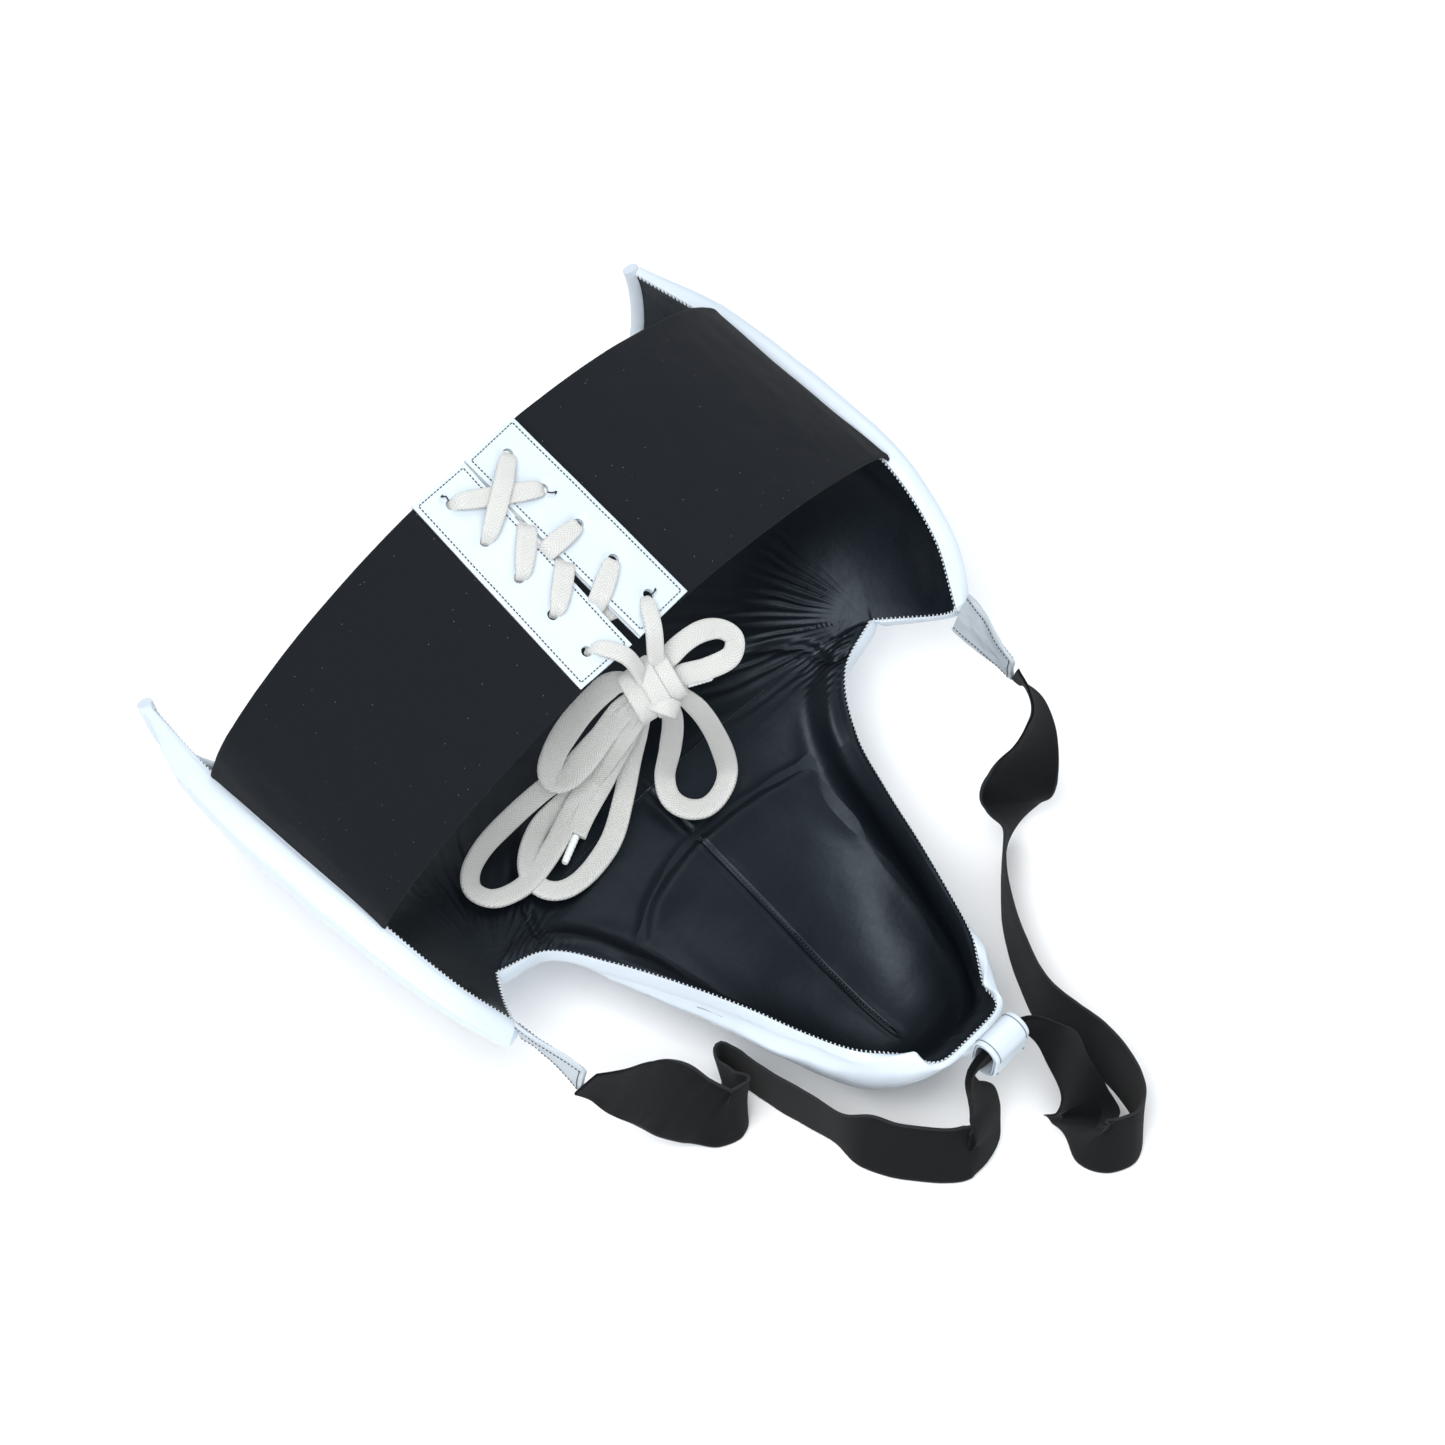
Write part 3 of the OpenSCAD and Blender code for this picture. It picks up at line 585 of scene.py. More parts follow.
def waist_relief(g, a, b):
    """Soft roll along the wing edges, and the middle seam at the flex line."""
    d = arc_from_edges(g)
    h = shared_relief(g) + 2.2 * np.exp(-((d - 12) / 9) ** 2) * step(b, 0.1, 0.3)
    h += 0.8 * fbm(g[..., 0] / 16, g[..., 2] / 24, 21) * np.exp(-((d - 8) / 10) ** 2)
    seam = np.exp(-(g[..., 0] / 1.2) ** 2) * step(b, 0.5, 0.6)
    h -= 0.8 * seam
    edge = np.minimum(step(d, 0, 5), np.where(np.abs(a) > LEG_SHARE, 1 - step(b, 0.96, 1), 1))
    return h * edge + 0.4 * (1 - edge)


def grid(surface, a0, a1, b0, b1, n, m):
    b, a = np.meshgrid(np.linspace(b0, b1, n + 1), np.linspace(a0, a1, m + 1), indexing="ij")
    return surface(a, b), a, b


COARSER = 1
NB, NA = 190 // COARSER, 460 // COARSER
CB, CA = 300 // COARSER, 240 // COARSER
MIDDLE = CA // 2


def rolled(n, a, b):
    """Normals of the cup turned downwards along its free rim, where the padding rolls over."""
    share = 0.8 * step(np.abs(a), 0.72, 1) * step(b, 0.0, 0.12) * (1 - 0.75 * step(b, 0.72, 0.95))
    return unit(n * (1 - share[..., None]) + np.array([0, 0, -1.0]) * share[..., None])


def joined_normals():
    """Normals of both linings, made equal along the flex line they share."""
    gw, aw, bw = grid(waist_pt, -1, 1, 0, 1, NB, NA)
    gc, ac, bc = grid(cup_pt, -1, 1, 0, 1, CB, CA)
    nw, nc = normals(gw), rolled(normals(gc), ac, bc)
    along = aw[0]
    inside = np.abs(along) <= LEG_SHARE
    from_cup = np.stack([np.interp(along / LEG_SHARE, ac[0], nc[0, :, k]) for k in range(3)], -1)
    from_waist = np.stack([np.interp(ac[0] * LEG_SHARE, along, nw[-1, :, k]) for k in range(3)], -1)
    both_w = unit(nw[-1] + from_cup)
    for row, share in ((-1, 1.0), (-2, 0.66), (-3, 0.33)):
        nw[row][inside] = unit(nw[row] * (1 - share) + both_w * share)[inside]
    both_c = unit(nc[0] + from_waist)
    for row, share in ((0, 1.0), (1, 0.66), (2, 0.33)):
        nc[row] = unit(nc[row] * (1 - share) + both_c * share)
    return (gw, aw, bw, nw), (gc, ac, bc, nc)


(GW, AW, BW, NW), (GC, AC, BC, NC) = joined_normals()
HW, HC = waist_relief(GW, AW, BW), cup_relief(GC, AC, BC)
HC[0] = (HC[0] + np.interp(AC[0] * LEG_SHARE, AW[0], HW[-1])) / 2
ON_FLEX = np.abs(AW[0]) <= LEG_SHARE
HW[-1][ON_FLEX] = np.interp(AW[0] / LEG_SHARE, AC[0], HC[0])[ON_FLEX]


def above(p, floor=0.0):
    """The same points, none of them lower than the floor or a height over it."""
    p = p.copy()
    p[..., 2] = np.maximum(p[..., 2], floor)
    return p


LINING_T = 1.2
FACE_W, FACE_C = GW - NW * HW[..., None], GC - NC * HC[..., None]


def piece(obj, node):
    """The piece takes the place of its CAD node, which is hidden."""
    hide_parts(node)
    return obj


def lining(node, face, back):
    return piece(shell(f"{node}_v", face, back, LINING), node)


lining("waist_lining", FACE_W, GW + NW * LINING_T)
lining("left_cup_lining", FACE_C[:, :MIDDLE + 1], (GC + NC * LINING_T)[:, :MIDDLE + 1])
lining("right_cup_lining", FACE_C[:, MIDDLE:], (GC + NC * LINING_T)[:, MIDDLE:])


# ---- covers: the outer surface, wrapped round the padded edge up to the lining ----
LEATHER_T = 1.3


def cover(node, surface, thick, normal, n, m, free_edge, puff, bulge, wall=10):
    """Leather over the padding: its edges turn round to the lining in half circles of wall steps.

    free_edge(a) is 1 where the last row is an open edge, puff swells the leather outwards and bulge
    is how far the turned edge stands out, as a share of the thickness."""
    turn_ = np.linspace(np.pi, 0, wall + 1)[:-1]
    a = np.r_[-np.ones(wall), np.linspace(-1, 1, m + 1), np.ones(wall)]
    fa = np.r_[turn_, np.zeros(m + 1), turn_[::-1]]
    b = np.r_[np.linspace(0, 1, n + 1), np.ones(wall)]
    fb = np.r_[np.zeros(n + 1), turn_[::-1]]
    bb, aa = np.meshgrid(b, a, indexing="ij")
    fbb, faa = np.meshgrid(fb, fa, indexing="ij")
    g = surface(aa, bb)
    base, _, _ = grid(surface, -1, 1, 0, 1, n, m)
    rows = np.minimum(np.arange(len(b)), n)
    cols = np.clip(np.arange(len(a)) - wall, 0, m)
    nn = normal[np.ix_(rows, cols)]
    out_a = unit(np.gradient(base, axis=1))[np.ix_(rows, cols)] * np.sign(aa)[..., None]
    out_b = unit(np.gradient(base, axis=0))[np.ix_(rows, cols)]
    f = np.maximum(faa, fbb)
    t = thick(aa, bb)
    lateral = np.where((faa >= fbb)[..., None], out_a, out_b * free_edge(aa)[..., None])
    swell = puff(g, aa, bb) * (1 - step(f, 0, 1.2))
    depth = (t + swell) * (0.5 + 0.5 * np.cos(f)) - 0.2 * (f > 3)
    out_by = t * bulge(aa, bb)
    outer = g + nn * depth[..., None] + lateral * (out_by * np.sin(f))[..., None]
    inner = g + nn * np.maximum(depth - LEATHER_T, -0.1)[..., None]
    inner += lateral * ((out_by - 1.0) * np.sin(f))[..., None]
    return piece(shell(f"{node}_v", above(inner, 0.9), above(outer), WHITE), node)


def waist_puff(g, a, b):
    x, y = g[..., 0], g[..., 1]
    left_wing_edge = 5 * step(-a, 0.8, 0.97) * step(b, 0, 0.15)
    return 0.9 * fbm(x / 60, y / 60, 31) + 0.35 * fbm(x / 14, y / 22, 33) - 0.4 + left_wing_edge


def cup_puff(g, a, b):
    x, y = g[..., 0], g[..., 1]
    return 0.7 * fbm(x / 40, y / 50, 41) + 0.3 * fbm(x / 11, y / 17, 43) - 0.4


def wing_edge(a):
    return step(np.abs(a), LEG_SHARE - 0.01, LEG_SHARE + 0.03)


def cup_bulge(a, b):
    return 0.1 + 0.2 * np.exp(-b / 0.04) + 0.25 * step(b, 0.8, 1)


cover("waist_cover", waist_pt, waist_t, NW, NB, NA, wing_edge, waist_puff, lambda a, b: 0.3 + 0 * a)
cover("cup_cover", cup_pt, cup_t, NC, CB, CA, np.ones_like, cup_puff, cup_bulge)


# ---- padding and hard cup inside ----
PAD_IN, PAD_OUT = (0, 1.7), (1, -1.7)
HARD_T = 2.6
HARD_IN = (1, -1.7 - HARD_T)
FOAM_OUT = (1, -2 - HARD_T)


def layer(node, surface, thick, a0, a1, b0, b1, d0, d1, material, slot, lumps=0.25):
    """A patch of padding from depth d0 to depth d1, each a share of the thickness plus millimetres."""
    g, a, b = grid(surface, a0, a1, b0, b1, 60, 80)
    n = rolled(normals(g), a, b) if surface is cup_pt else normals(g)
    t = thick(a, b)
    ea = np.minimum(a - a0, a1 - a) / (a1 - a0)
    eb = np.minimum(b - b0, b1 - b) / (b1 - b0)
    soft = np.sqrt(np.clip(np.minimum(ea, eb) / 0.05, 0.04, 1))
    top, low = t * d0[0] + d0[1], t * d1[0] + d1[1]
    mid, halfway = (top + low) / 2, (low - top) / 2
    wave = lumps * fbm(g[..., 0] / 9, g[..., 1] / 9, 51)
    first = mid - halfway * soft + np.abs(wave)
    second = mid + halfway * soft - np.abs(wave)
    first, second = above(g + n * first[..., None], 1.6), above(g + n * second[..., None], 1.6)
    return piece(shell(f"{node}_v", first, second, material), node)


for node, surface, thick, a0, a1, b0, b1, out in (
        ("abdominal_pad", waist_pt, waist_t, -0.44, 0.44, 0.04, 0.96, PAD_OUT),
        ("left_wing_pad", waist_pt, waist_t, -0.97, -0.46, 0.04, 0.94, PAD_OUT),
        ("right_wing_pad", waist_pt, waist_t, 0.46, 0.97, 0.04, 0.94, PAD_OUT),
        ("cup_foam", cup_pt, cup_t, -0.72, 0.72, 0.05, 0.95, FOAM_OUT),
        ("left_rim_roll", cup_pt, cup_t, -0.93, -0.75, 0.06, 0.93, PAD_OUT),
        ("right_rim_roll", cup_pt, cup_t, 0.75, 0.93, 0.06, 0.93, PAD_OUT)):
    layer(node, surface, thick, a0, a1, b0, b1, PAD_IN, out, FOAM, "foam")
layer("hard_cup", cup_pt, cup_t, -0.72, 0.72, 0.2, 0.95, HARD_IN, PAD_OUT, SHELL, "cup_shell", 0.0)


# ---- rolled hem ----
HEM_D = 9.0
n_hem = 500 // COARSER
a_hem = np.linspace(-1, 1, n_hem + 1)
hem_edge = waist_pt(a_hem, np.zeros_like(a_hem))
hem_next = waist_pt(a_hem, np.full_like(a_hem, 0.02))
hem_up = unit(hem_edge - hem_next)
hem_g = np.stack([hem_edge, hem_next])
hem_n = normals(hem_g)[0]
hem_out = waist_t(a_hem, 0 * a_hem) - HEM_D / 2
hem_path = hem_edge + hem_up * (HEM_D / 2 + 0.2) + hem_n * hem_out[:, None]
at = lengths(hem_path)
puckers = np.sin(at * 0.8 + 2 * lattice(at / 12, 0 * at, 61)) * lattice(at / 25, 0 * at, 62)
hem_w = HEM_D * (1 + 0.03 * puckers)
hem_side = np.tile([0.1, 1, 0.1], (len(hem_path), 1))
piece(sweep("top_hem_v", above(hem_path, HEM_D / 2), hem_side, hem_w, hem_w, oval(24), WHITE),
      "top_hem")


# ---- belt ----
BELT_W = 130.0
PANEL_W = 38.0


def belt_pt(q, s):
    """q in degrees from the middle, s down the belt from 0 to 1."""
    sq, cq = np.sin(q * D), np.cos(q * D)
    top = np.stack([195 * sq, 42 + 9 * sq**2, 149 + 73 * cq], -1)
    low = np.stack([196 * sq, 167 + 9 * sq**2, 146 + 41 * cq], -1)
    return to_frame(top + (low - top) * s[..., None])


def side_name(side):
    return "right" if side > 0 else "left"


def belt_half(side):
    """One elastic half of the belt, from under its lacing panel to the side of the waist."""
    q_in = np.arcsin((PANEL_W - 5) / 195) / D
    s, q = np.meshgrid(np.linspace(0, 1, 90), np.linspace(q_in, 89.2, 260), indexing="ij")
    g = belt_pt(side * q, s)
    n = normals(g) * side
    ripple = 0.9 * fbm(q / 14, s * 3, 71 if side > 0 else 72)
    ripple *= step(q, q_in + 1, q_in + 12) * (1 - step(q, 78, 88))
    edge_roll = 0.5 * (np.exp(-(s / 0.03) ** 2) + np.exp(-((1 - s) / 0.03) ** 2))
    under_panel = 1 - step(q, q_in + 1.5, q_in + 3.2)
    edge_soft = 0.7 * np.minimum(step(s, 0, 0.006), step(1 - s, 0, 0.006)) - 0.7
    up = g - n * (2.0 - 1.1 * under_panel + ripple + edge_roll + edge_soft)[..., None]
    down = g - n * (ripple + edge_roll + 0.1)[..., None]
    uv = np.stack([(q - q_in) * 3.2, s * BELT_W], -1)
    node = f"{side_name(side)}_elastic"
    verts, faces = shell_data(down, up)
    faces = faces if side < 0 else [f[::-1] for f in faces]
    obj = mesh_object(f"{node}_v", verts, faces, ELASTIC, np.concatenate([uv.reshape(-1, 2)] * 2), 50)
    return piece(obj, node)


belt_half(-1)
belt_half(1)


def belt_matrix(side=0):
    """Frame of the lacing: x across, -y down the belt, z out of it."""
    m = Matrix.Translation((0, REST_RUN - 42, 222)) @ Matrix.Rotation(15.6 * D, 4, "X")
    return np.array(m @ Matrix.Rotation(side * 1.3 * D, 4, "Z") @ Matrix.Rotation(side * 1.5 * D, 4, "Y"))


def place(p, m):
    return np.asarray(p, float) @ m[:3, :3].T + m[:3, 3]


HOLE_X, HOLE_Y0, PITCH, HOLE_R = 0.56 * PANEL_W, 0.1 * BELT_W, 26.0, 3.0
HOLE_Y = [HOLE_Y0 + i * PITCH for i in range(5)]
PANEL_LOW, PANEL_TOP = 1.2, 2.6


def panel_start(side):
    """The lower x of a lacing panel."""
    return 0.4 if side > 0 else -PANEL_W - 0.4


def panel_curl(side, x):
    """How far a panel's inner edge curls up."""
    inner = panel_start(side) + (0 if side > 0 else PANEL_W)
    return 0.5 * np.exp(-((x - inner) / 6) ** 2)


def joined_points(points):
    """The points without their doubles, and each old point's place among them."""
    key, keep = {}, []
    remap = np.empty(len(points), int)
    for i, p in enumerate(np.round(points, 3).tolist()):
        if tuple(p) not in key:
            key[tuple(p)] = len(keep)
            keep.append(i)
        remap[i] = key[tuple(p)]
    return points[keep], remap


def plate(side, low, high, sag, node, seed):
    """A leather plate with five punched holes; the leather dips a little round each hole."""
    cell = 12.0
    lo_x = panel_start(side)
    hole_x = side * HOLE_X
    holes = [-y for y in HOLE_Y]
    verts, faces = [], []

    def flat_patch(x0, x1, y0, y1):
        """A grid of squares of about 1.5 mm."""
        nx = max(2, int(round((x1 - x0) / 1.5)))
        ny = max(2, int(round((y1 - y0) / 1.5)))
        base = len(verts)
        for j in range(ny + 1):
            for i in range(nx + 1):
                verts.append((x0 + (x1 - x0) * i / nx, y0 + (y1 - y0) * j / ny))
        for j in range(ny):
            for i in range(nx):
                k = base + j * (nx + 1) + i
                faces.append([k, k + 1, k + nx + 2, k + nx + 1])

    def hole_patch(cx, cy, k=32, rings=7):
        """Rings of points that grow from the round hole to the square cell round it."""
        base = len(verts)
        for r in range(rings):
            f = (r / (rings - 1)) ** 1.3
            for q in range(k):
                w = 2 * np.pi * q / k - np.pi / 4
                c, s = np.cos(w), np.sin(w)
                square = cell / 2 / max(abs(c), abs(s))
                reach = HOLE_R + (square - HOLE_R) * f
                verts.append((cx + c * reach, cy + s * reach))
        for r in range(rings - 1):
            for q in range(k):
                p0, p1 = base + r * k + q, base + r * k + (q + 1) % k
                faces.append([p0, p0 + k, p1 + k, p1])

    x_cuts = [lo_x, hole_x - cell / 2, hole_x + cell / 2, lo_x + PANEL_W]
    y_cuts = sorted([0.0, -BELT_W] + [y + d for y in holes for d in (cell / 2, -cell / 2)])
    for i in range(3):
        for j in range(len(y_cuts) - 1):
            middle = (y_cuts[j] + y_cuts[j + 1]) / 2
            if i == 1 and any(abs(middle - y) < 0.5 for y in holes):
                hole_patch(hole_x, middle)
            else:
                flat_patch(x_cuts[i], x_cuts[i + 1], y_cuts[j], y_cuts[j + 1])
    v, remap = joined_points(np.array(verts))
    faces = [[int(remap[i]) for i in f] for f in faces]
    away = np.min([np.hypot(v[:, 0] - hole_x, v[:, 1] - y) for y in holes], axis=0)
    dimple = -sag * np.exp(-((away - HOLE_R) / 3.0) ** 2)
    wave = 0.35 * fbm(v[:, 0] / 18, v[:, 1] / 26, seed) + dimple
    wave += panel_curl(side, v[:, 0])
    from_edge = np.minimum.reduce([v[:, 0] - lo_x, lo_x + PANEL_W - v[:, 0], -v[:, 1], v[:, 1] + BELT_W])
    z_top = high + wave - 0.35 * np.exp(-(from_edge / 0.5) ** 2)
    n = len(v)
    both = np.concatenate([np.column_stack([v, z_top]), np.column_stack([v, low + wave])])
    edges = {(a, b): 1 for f in faces for a, b in zip(f, f[1:] + f[:1])}
    walls = [[b, a, a + n, b + n] for a, b in edges if (b, a) not in edges]
    faces = faces + [[i + n for i in f[::-1]] for f in faces] + walls
    obj = mesh_object(f"{node}_v", place(both, belt_matrix(side)), faces, PANEL, None, 40)
    return piece(obj, node)


PANEL_SEED = {-1: 81, 1: 82}
for side in (-1, 1):
    plate(side, PANEL_LOW, PANEL_TOP, 0.8, f"{side_name(side)}_lacing_panel", PANEL_SEED[side])
for side in (-1, 1):
    plate(side, -1.4, -0.1, 0.3, f"{side_name(side)}_panel_backing", PANEL_SEED[side] + 2)


def panel_stitches(side):
    """A row of dark stitches just inside the panel's four edges."""
    inset, pitch = 2.6, 2.18
    x0 = panel_start(side) + inset
    x1 = x0 + PANEL_W - 2 * inset
    corners = [(x0, -inset), (x1, -inset), (x1, -BELT_W + inset), (x0, -BELT_W + inset), (x0, -inset)]
    pts, dirs = [], []
    for (ax, ay), (bx, by) in zip(corners[:-1], corners[1:]):
        n = int(np.hypot(bx - ax, by - ay) / pitch)
        for i in range(n):
            f = (i + 0.5) / n
            pts.append((ax + (bx - ax) * f, ay + (by - ay) * f))
            dirs.append(unit(np.array([bx - ax, by - ay, 0.0])))
    x, y = np.array(pts).T
    z = PANEL_TOP + 0.35 * fbm(x / 18, y / 26, PANEL_SEED[side]) + panel_curl(side, x)
    m = belt_matrix(side)
    p = place(np.column_stack([x, y, z]), m)
    up = np.tile(m[:3, 2], (len(p), 1))
    name = f"{side_name(side)}_panel_stitches"
    obj = stitches(name, p, np.array(dirs) @ m[:3, :3].T, up, 1.45, 0.32, THREAD_DARK, 0.05)


def thread_ends():
    """Loose ends of black thread beside some of the holes."""
    parts = []
    for side, row, dx, dy in ((1, 0, -7, -2), (1, 1, 3, -6), (1, 4, 6, -1), (-1, 0, -1, 7), (-1, 2, 4, 5)):
        at = np.array([side * HOLE_X, -HOLE_Y[row]])
        start = at + np.array([dx, dy]) * 0.4
        ends = [[*start, 2.2], [*(start + [dx * 0.3, dy * 0.35]), 4.2],
                [*(start + [dx * 0.7 - dy * 0.2, dy * 0.6 + dx * 0.2]), 3.6], [*(at + [dx, dy]), 3.2]]
        path = place(curve(ends, 24), belt_matrix())
        parts.append(sweep_data(path, np.tile([0.3, 1, 0.2], (25, 1)), 0.8, 0.8, oval(8)))
    merged("thread_ends", parts, THREAD_DARK, None)


panel_stitches(-1)
panel_stitches(1)
thread_ends()


# ---- lace ----
LACE_W, LACE_T = 10.4, 4.0
PROFILE = lace_profile()


def lace_band(points):
    """A drawn run of lace: x, distance down the belt, height over it, share of the lace's width."""
    p = curve(points, 70)
    m = belt_matrix()
    path = place(np.column_stack([p[:, 0], -p[:, 1], p[:, 2]]), m)
    side = np.cross(m[:3, 2], unit(path[-1] - path[0]))
    sides = np.tile(side, (len(path), 1))
    return sweep_data(path, sides, LACE_W * p[:, 3], LACE_T * (1.25 - 0.25 * p[:, 3]), PROFILE)


OVER = PANEL_TOP + LACE_T / 2 + 0.2


def straight_run(x0, y0, x1, y1, rows):
    """Rows of share of the way, height and width share, along a line from (x0, y0) to (x1, y1)."""
    return lace_band([(x0 + (x1 - x0) * s, y0 + (y1 - y0) * s, z, w) for s, z, w in rows])


def hole_run(side, lift):
    """From one side's top hole over both panels to the other side's second hole."""
    rise = [(0, -3, 0.55), (0.02, 1.5, 0.66), (0.08, OVER, 0.86), (0.2, OVER + 0.4 + lift * 0.3, 0.98),
            (0.36, OVER + lift, 1.02)]
    fall = [(1 - s, z, w) for s, z, w in rise[::-1]]
    rows = rise + [(0.5, OVER + lift, 1.02)] + fall
    return straight_run(side * HOLE_X, HOLE_Y[0], -side * HOLE_X, HOLE_Y[1], rows)


def gap_run(side, row, gap_x, gap_y):
    """From under the gap between the panels up over the panel's edge to a hole."""
    rows = [(-0.12, -8, 0.85), (-0.02, -3, 0.9), (0.1, 1.0, 1.0), (0.22, OVER - 0.4, 1.05),
            (0.4, OVER + 0.5, 1.08), (0.6, OVER + 0.6, 1.05), (0.82, OVER + 0.2, 0.95),
            (0.94, OVER - 0.4, 0.8), (0.985, 1.5, 0.66), (1, -3, 0.55)]
    return straight_run(gap_x, HOLE_Y[row] + gap_y, side * HOLE_X, HOLE_Y[row], rows)


def last_run(side):
    """From the lowest hole over the panel's lower edge down into the knot."""
    y = HOLE_Y[4]
    rows = [(HOLE_X, y, -4, 0.5), (0.95 * HOLE_X, y + 1, 1.6, 0.6), (0.8 * HOLE_X, y + 5, OVER, 0.85),
            (11, BELT_W + 2, OVER - 1, 0.9), (7, BELT_W + 11, -6, 0.9), (5, BELT_W + 18, -17, 0.9)]
    return lace_band([(side * x, *rest) for x, *rest in rows])


UNDER_TOP = [(-HOLE_X - 1, HOLE_Y[0], -4.5, 0.8), (0, HOLE_Y[0], -5, 1), (HOLE_X + 1, HOLE_Y[0], -4.5, 0.8)]
UNDER_LOW = [(-9, HOLE_Y[3] + 14, -4, 0.9), (0, HOLE_Y[3] + 17, -4.5, 0.9), (9, HOLE_Y[3] + 20, -4, 0.9)]
runs = [hole_run(-1, 0.0), hole_run(1, LACE_T * 0.95), gap_run(-1, 2, 3, -20), gap_run(1, 2, -6, -1),
        gap_run(-1, 3, 4, -18), gap_run(1, 3, -4, 12), lace_band(UNDER_TOP), lace_band(UNDER_LOW),
        last_run(1), last_run(-1)]
piece(merged("lace_v", runs, LACE), "lace")

# Bow: centre lines as x, run, z
BOW = {
    "bow_loop_long": [
        (-6, 181, 150), (-20, 170, 119), (-38, 162, 89), (-52, 156, 76), (-70, 154, 71), (-94, 156, 74),
        (-112, 162, 78), (-121, 171, 80), (-119, 181, 80), (-109, 186, 77), (-93, 187, 73), (-70, 182, 70),
        (-44, 174, 72), (-22, 173, 94), (-9, 181, 145)],
    "bow_loop_short": [
        (-4, 185, 148), (-18, 178, 112), (-30, 172, 82), (-44, 167, 69), (-62, 167, 68), (-79, 174, 70),
        (-90, 184, 72), (-91, 194, 71), (-85, 201, 69), (-74, 204, 67), (-58, 203, 65), (-39, 198, 64),
        (-20, 188, 69), (-9, 182, 98), (-5, 183, 144)],
    "bow_ear_left": [
        (-4, 174, 158), (-11, 163, 150), (-25, 156, 128), (-38, 154, 108), (-47, 157, 98), (-48, 162, 92),
        (-41, 167, 95), (-27, 169, 109), (-12, 173, 134), (-4, 179, 151)],
    "bow_ear_right": [
        (7, 180, 164), (22, 179, 168), (37, 181, 168), (48, 186, 164), (51, 194, 160), (43, 199, 157),
        (30, 195, 156), (17, 189, 158), (6, 184, 158)],
    "bow_loop_right": [
        (6, 188, 150), (9, 192, 122), (9, 193, 93), (5, 195, 70), (0, 204, 64), (2, 214, 62), (10, 221, 62),
        (22, 221, 63), (32, 216, 68), (31, 208, 92), (23, 199, 123), (11, 189, 150)],
    "lace_end_left": [(-6, 182, 146), (-16, 179, 108), (-29, 178, 79), (-44, 181, 71), (-54, 185, 69)],
    "lace_end_right": [(8, 186, 156), (12, 189, 155), (16, 192, 153)]}
BOW_WIDTH = {"bow_ear_left": 14.0, "lace_end_left": 11.0, "lace_end_right": 8.0}
BOW_W, BOW_T = 11.5, 4.0
# How far the lace stands on edge where a closed loop turns
EDGE_ON = {"bow_loop_long": 0.5, "bow_loop_short": 0.45, "bow_ear_left": 0.3, "bow_ear_right": 0.4,
           "bow_loop_right": 0.4}


def bow_part(name):
    """One loop or end of the bow, flat towards the front except where a loop turns."""
    pts = to_frame(BOW[name])
    path = curve(pts, int(lengths(pts)[-1] / 1.1))
    s = np.linspace(0, 1, len(path))
    flat_side = unit(np.cross(unit(np.gradient(path, axis=0)), BACK))
    closed = name in EDGE_ON
    k = EDGE_ON[name] * np.exp(-((s - 0.5) / 0.2) ** 2) if closed else np.full(len(s), 0.15)
    wide = BACK * k[:, None] + flat_side * (1 - k[:, None] * 0.75)
    ends = 0.7 + 0.3 * np.minimum(step(s, 0, 0.12), step(1 - s, 0, 0.12) if closed else 1)
    width = BOW_WIDTH.get(name, BOW_W) * ends * (1 + 0.05 * lattice(s * 9, 0 * s, len(name)))
    thick = BOW_T * (1 + 0.08 * lattice(s * 13, 0 * s, len(name) + 1))
    obj = sweep(f"{name}_v", path, unit(wide), width, thick, PROFILE, LACE)
    return piece(obj, name), path


bow_objects = {name: bow_part(name) for name in BOW}


def aglet(name, start, end):
    path = curve(to_frame([start, (np.array(start) + end) / 2, end]), 40)
    s = np.linspace(0, 1, len(path))
    w = 5.0 * (1 - 0.12 * s) * (1 + 0.04 * np.sin(s * 40)) * np.clip(np.minimum(s, 1 - s) / 0.03, 0.8, 1)
    side = np.tile([0, 0.1, 1], (len(path), 1))
    return piece(sweep(f"{name}_v", path, side, w, w * 0.85, oval(24), AGLET), name)


aglet_left = aglet("aglet_left", (-54.6, 185.2, 69), (-71, 192, 69.5))
aglet("aglet_right", (16.6, 192.3, 152.8), (30, 198, 150))

# Knot: four turns of lace round the crossing, and a core that the loops leave
KNOT = np.array([0, REST_RUN - 182, 158.0])


def by_knot(right, up, back):
    """A point near the knot, as it is seen from the camera, in millimetres."""
    return KNOT + right * RIGHT + up * UP + back * BACK


def knot_turn(centre, tilt, rx, rz, width, lean=1.2):
    q = np.linspace(-200, 20, 80) * D
    axis = np.cos(tilt * D) * RIGHT + np.sin(tilt * D) * UP
    path = by_knot(*centre) + np.outer(np.cos(q) * rx, np.cross(BACK, axis)) - np.outer(np.sin(q) * rz, BACK)
    path += np.outer(np.linspace(-lean, lean, 80), axis)
    return sweep_data(path, np.tile(axis, (80, 1)), width, LACE_T, PROFILE)


def knot_core():
    path = curve([by_knot(-12, -8, -2), by_knot(0, 0, -3), by_knot(12, 8, -3)], 40)
    width = 21 * np.sin(np.linspace(0.35, 2.8, 41)) ** 0.6
    return sweep_data(path, np.tile(UP, (41, 1)), width, 14, oval(24))


turns = [knot_turn((-7.5, -5, 0), 33, 13, 11, 10.5), knot_turn((0.5, 0, 1.5), 33, 14.5, 12, 10.5),
         knot_turn((8, 5, 0), 33, 12, 10.5, 10), knot_turn((4, -9, 1), 74, 9, 10.5, 10, 1)]
piece(merged("bow_knot_v", turns + [knot_core()], LACE), "bow_knot")

# The right lace end is 9 mm long; the loop below only reads the other bow parts and their paths.
# The right lace end is 9 mm long, too short to count as a cord
for name in [n for n in BOW if n != "lace_end_right"]:
    obj, path = bow_objects[name]


# ---- strap, tabs and keeper ----
TAB_ROOT = np.array([175, 252.5, 105.0])
TAB_T = 2.7


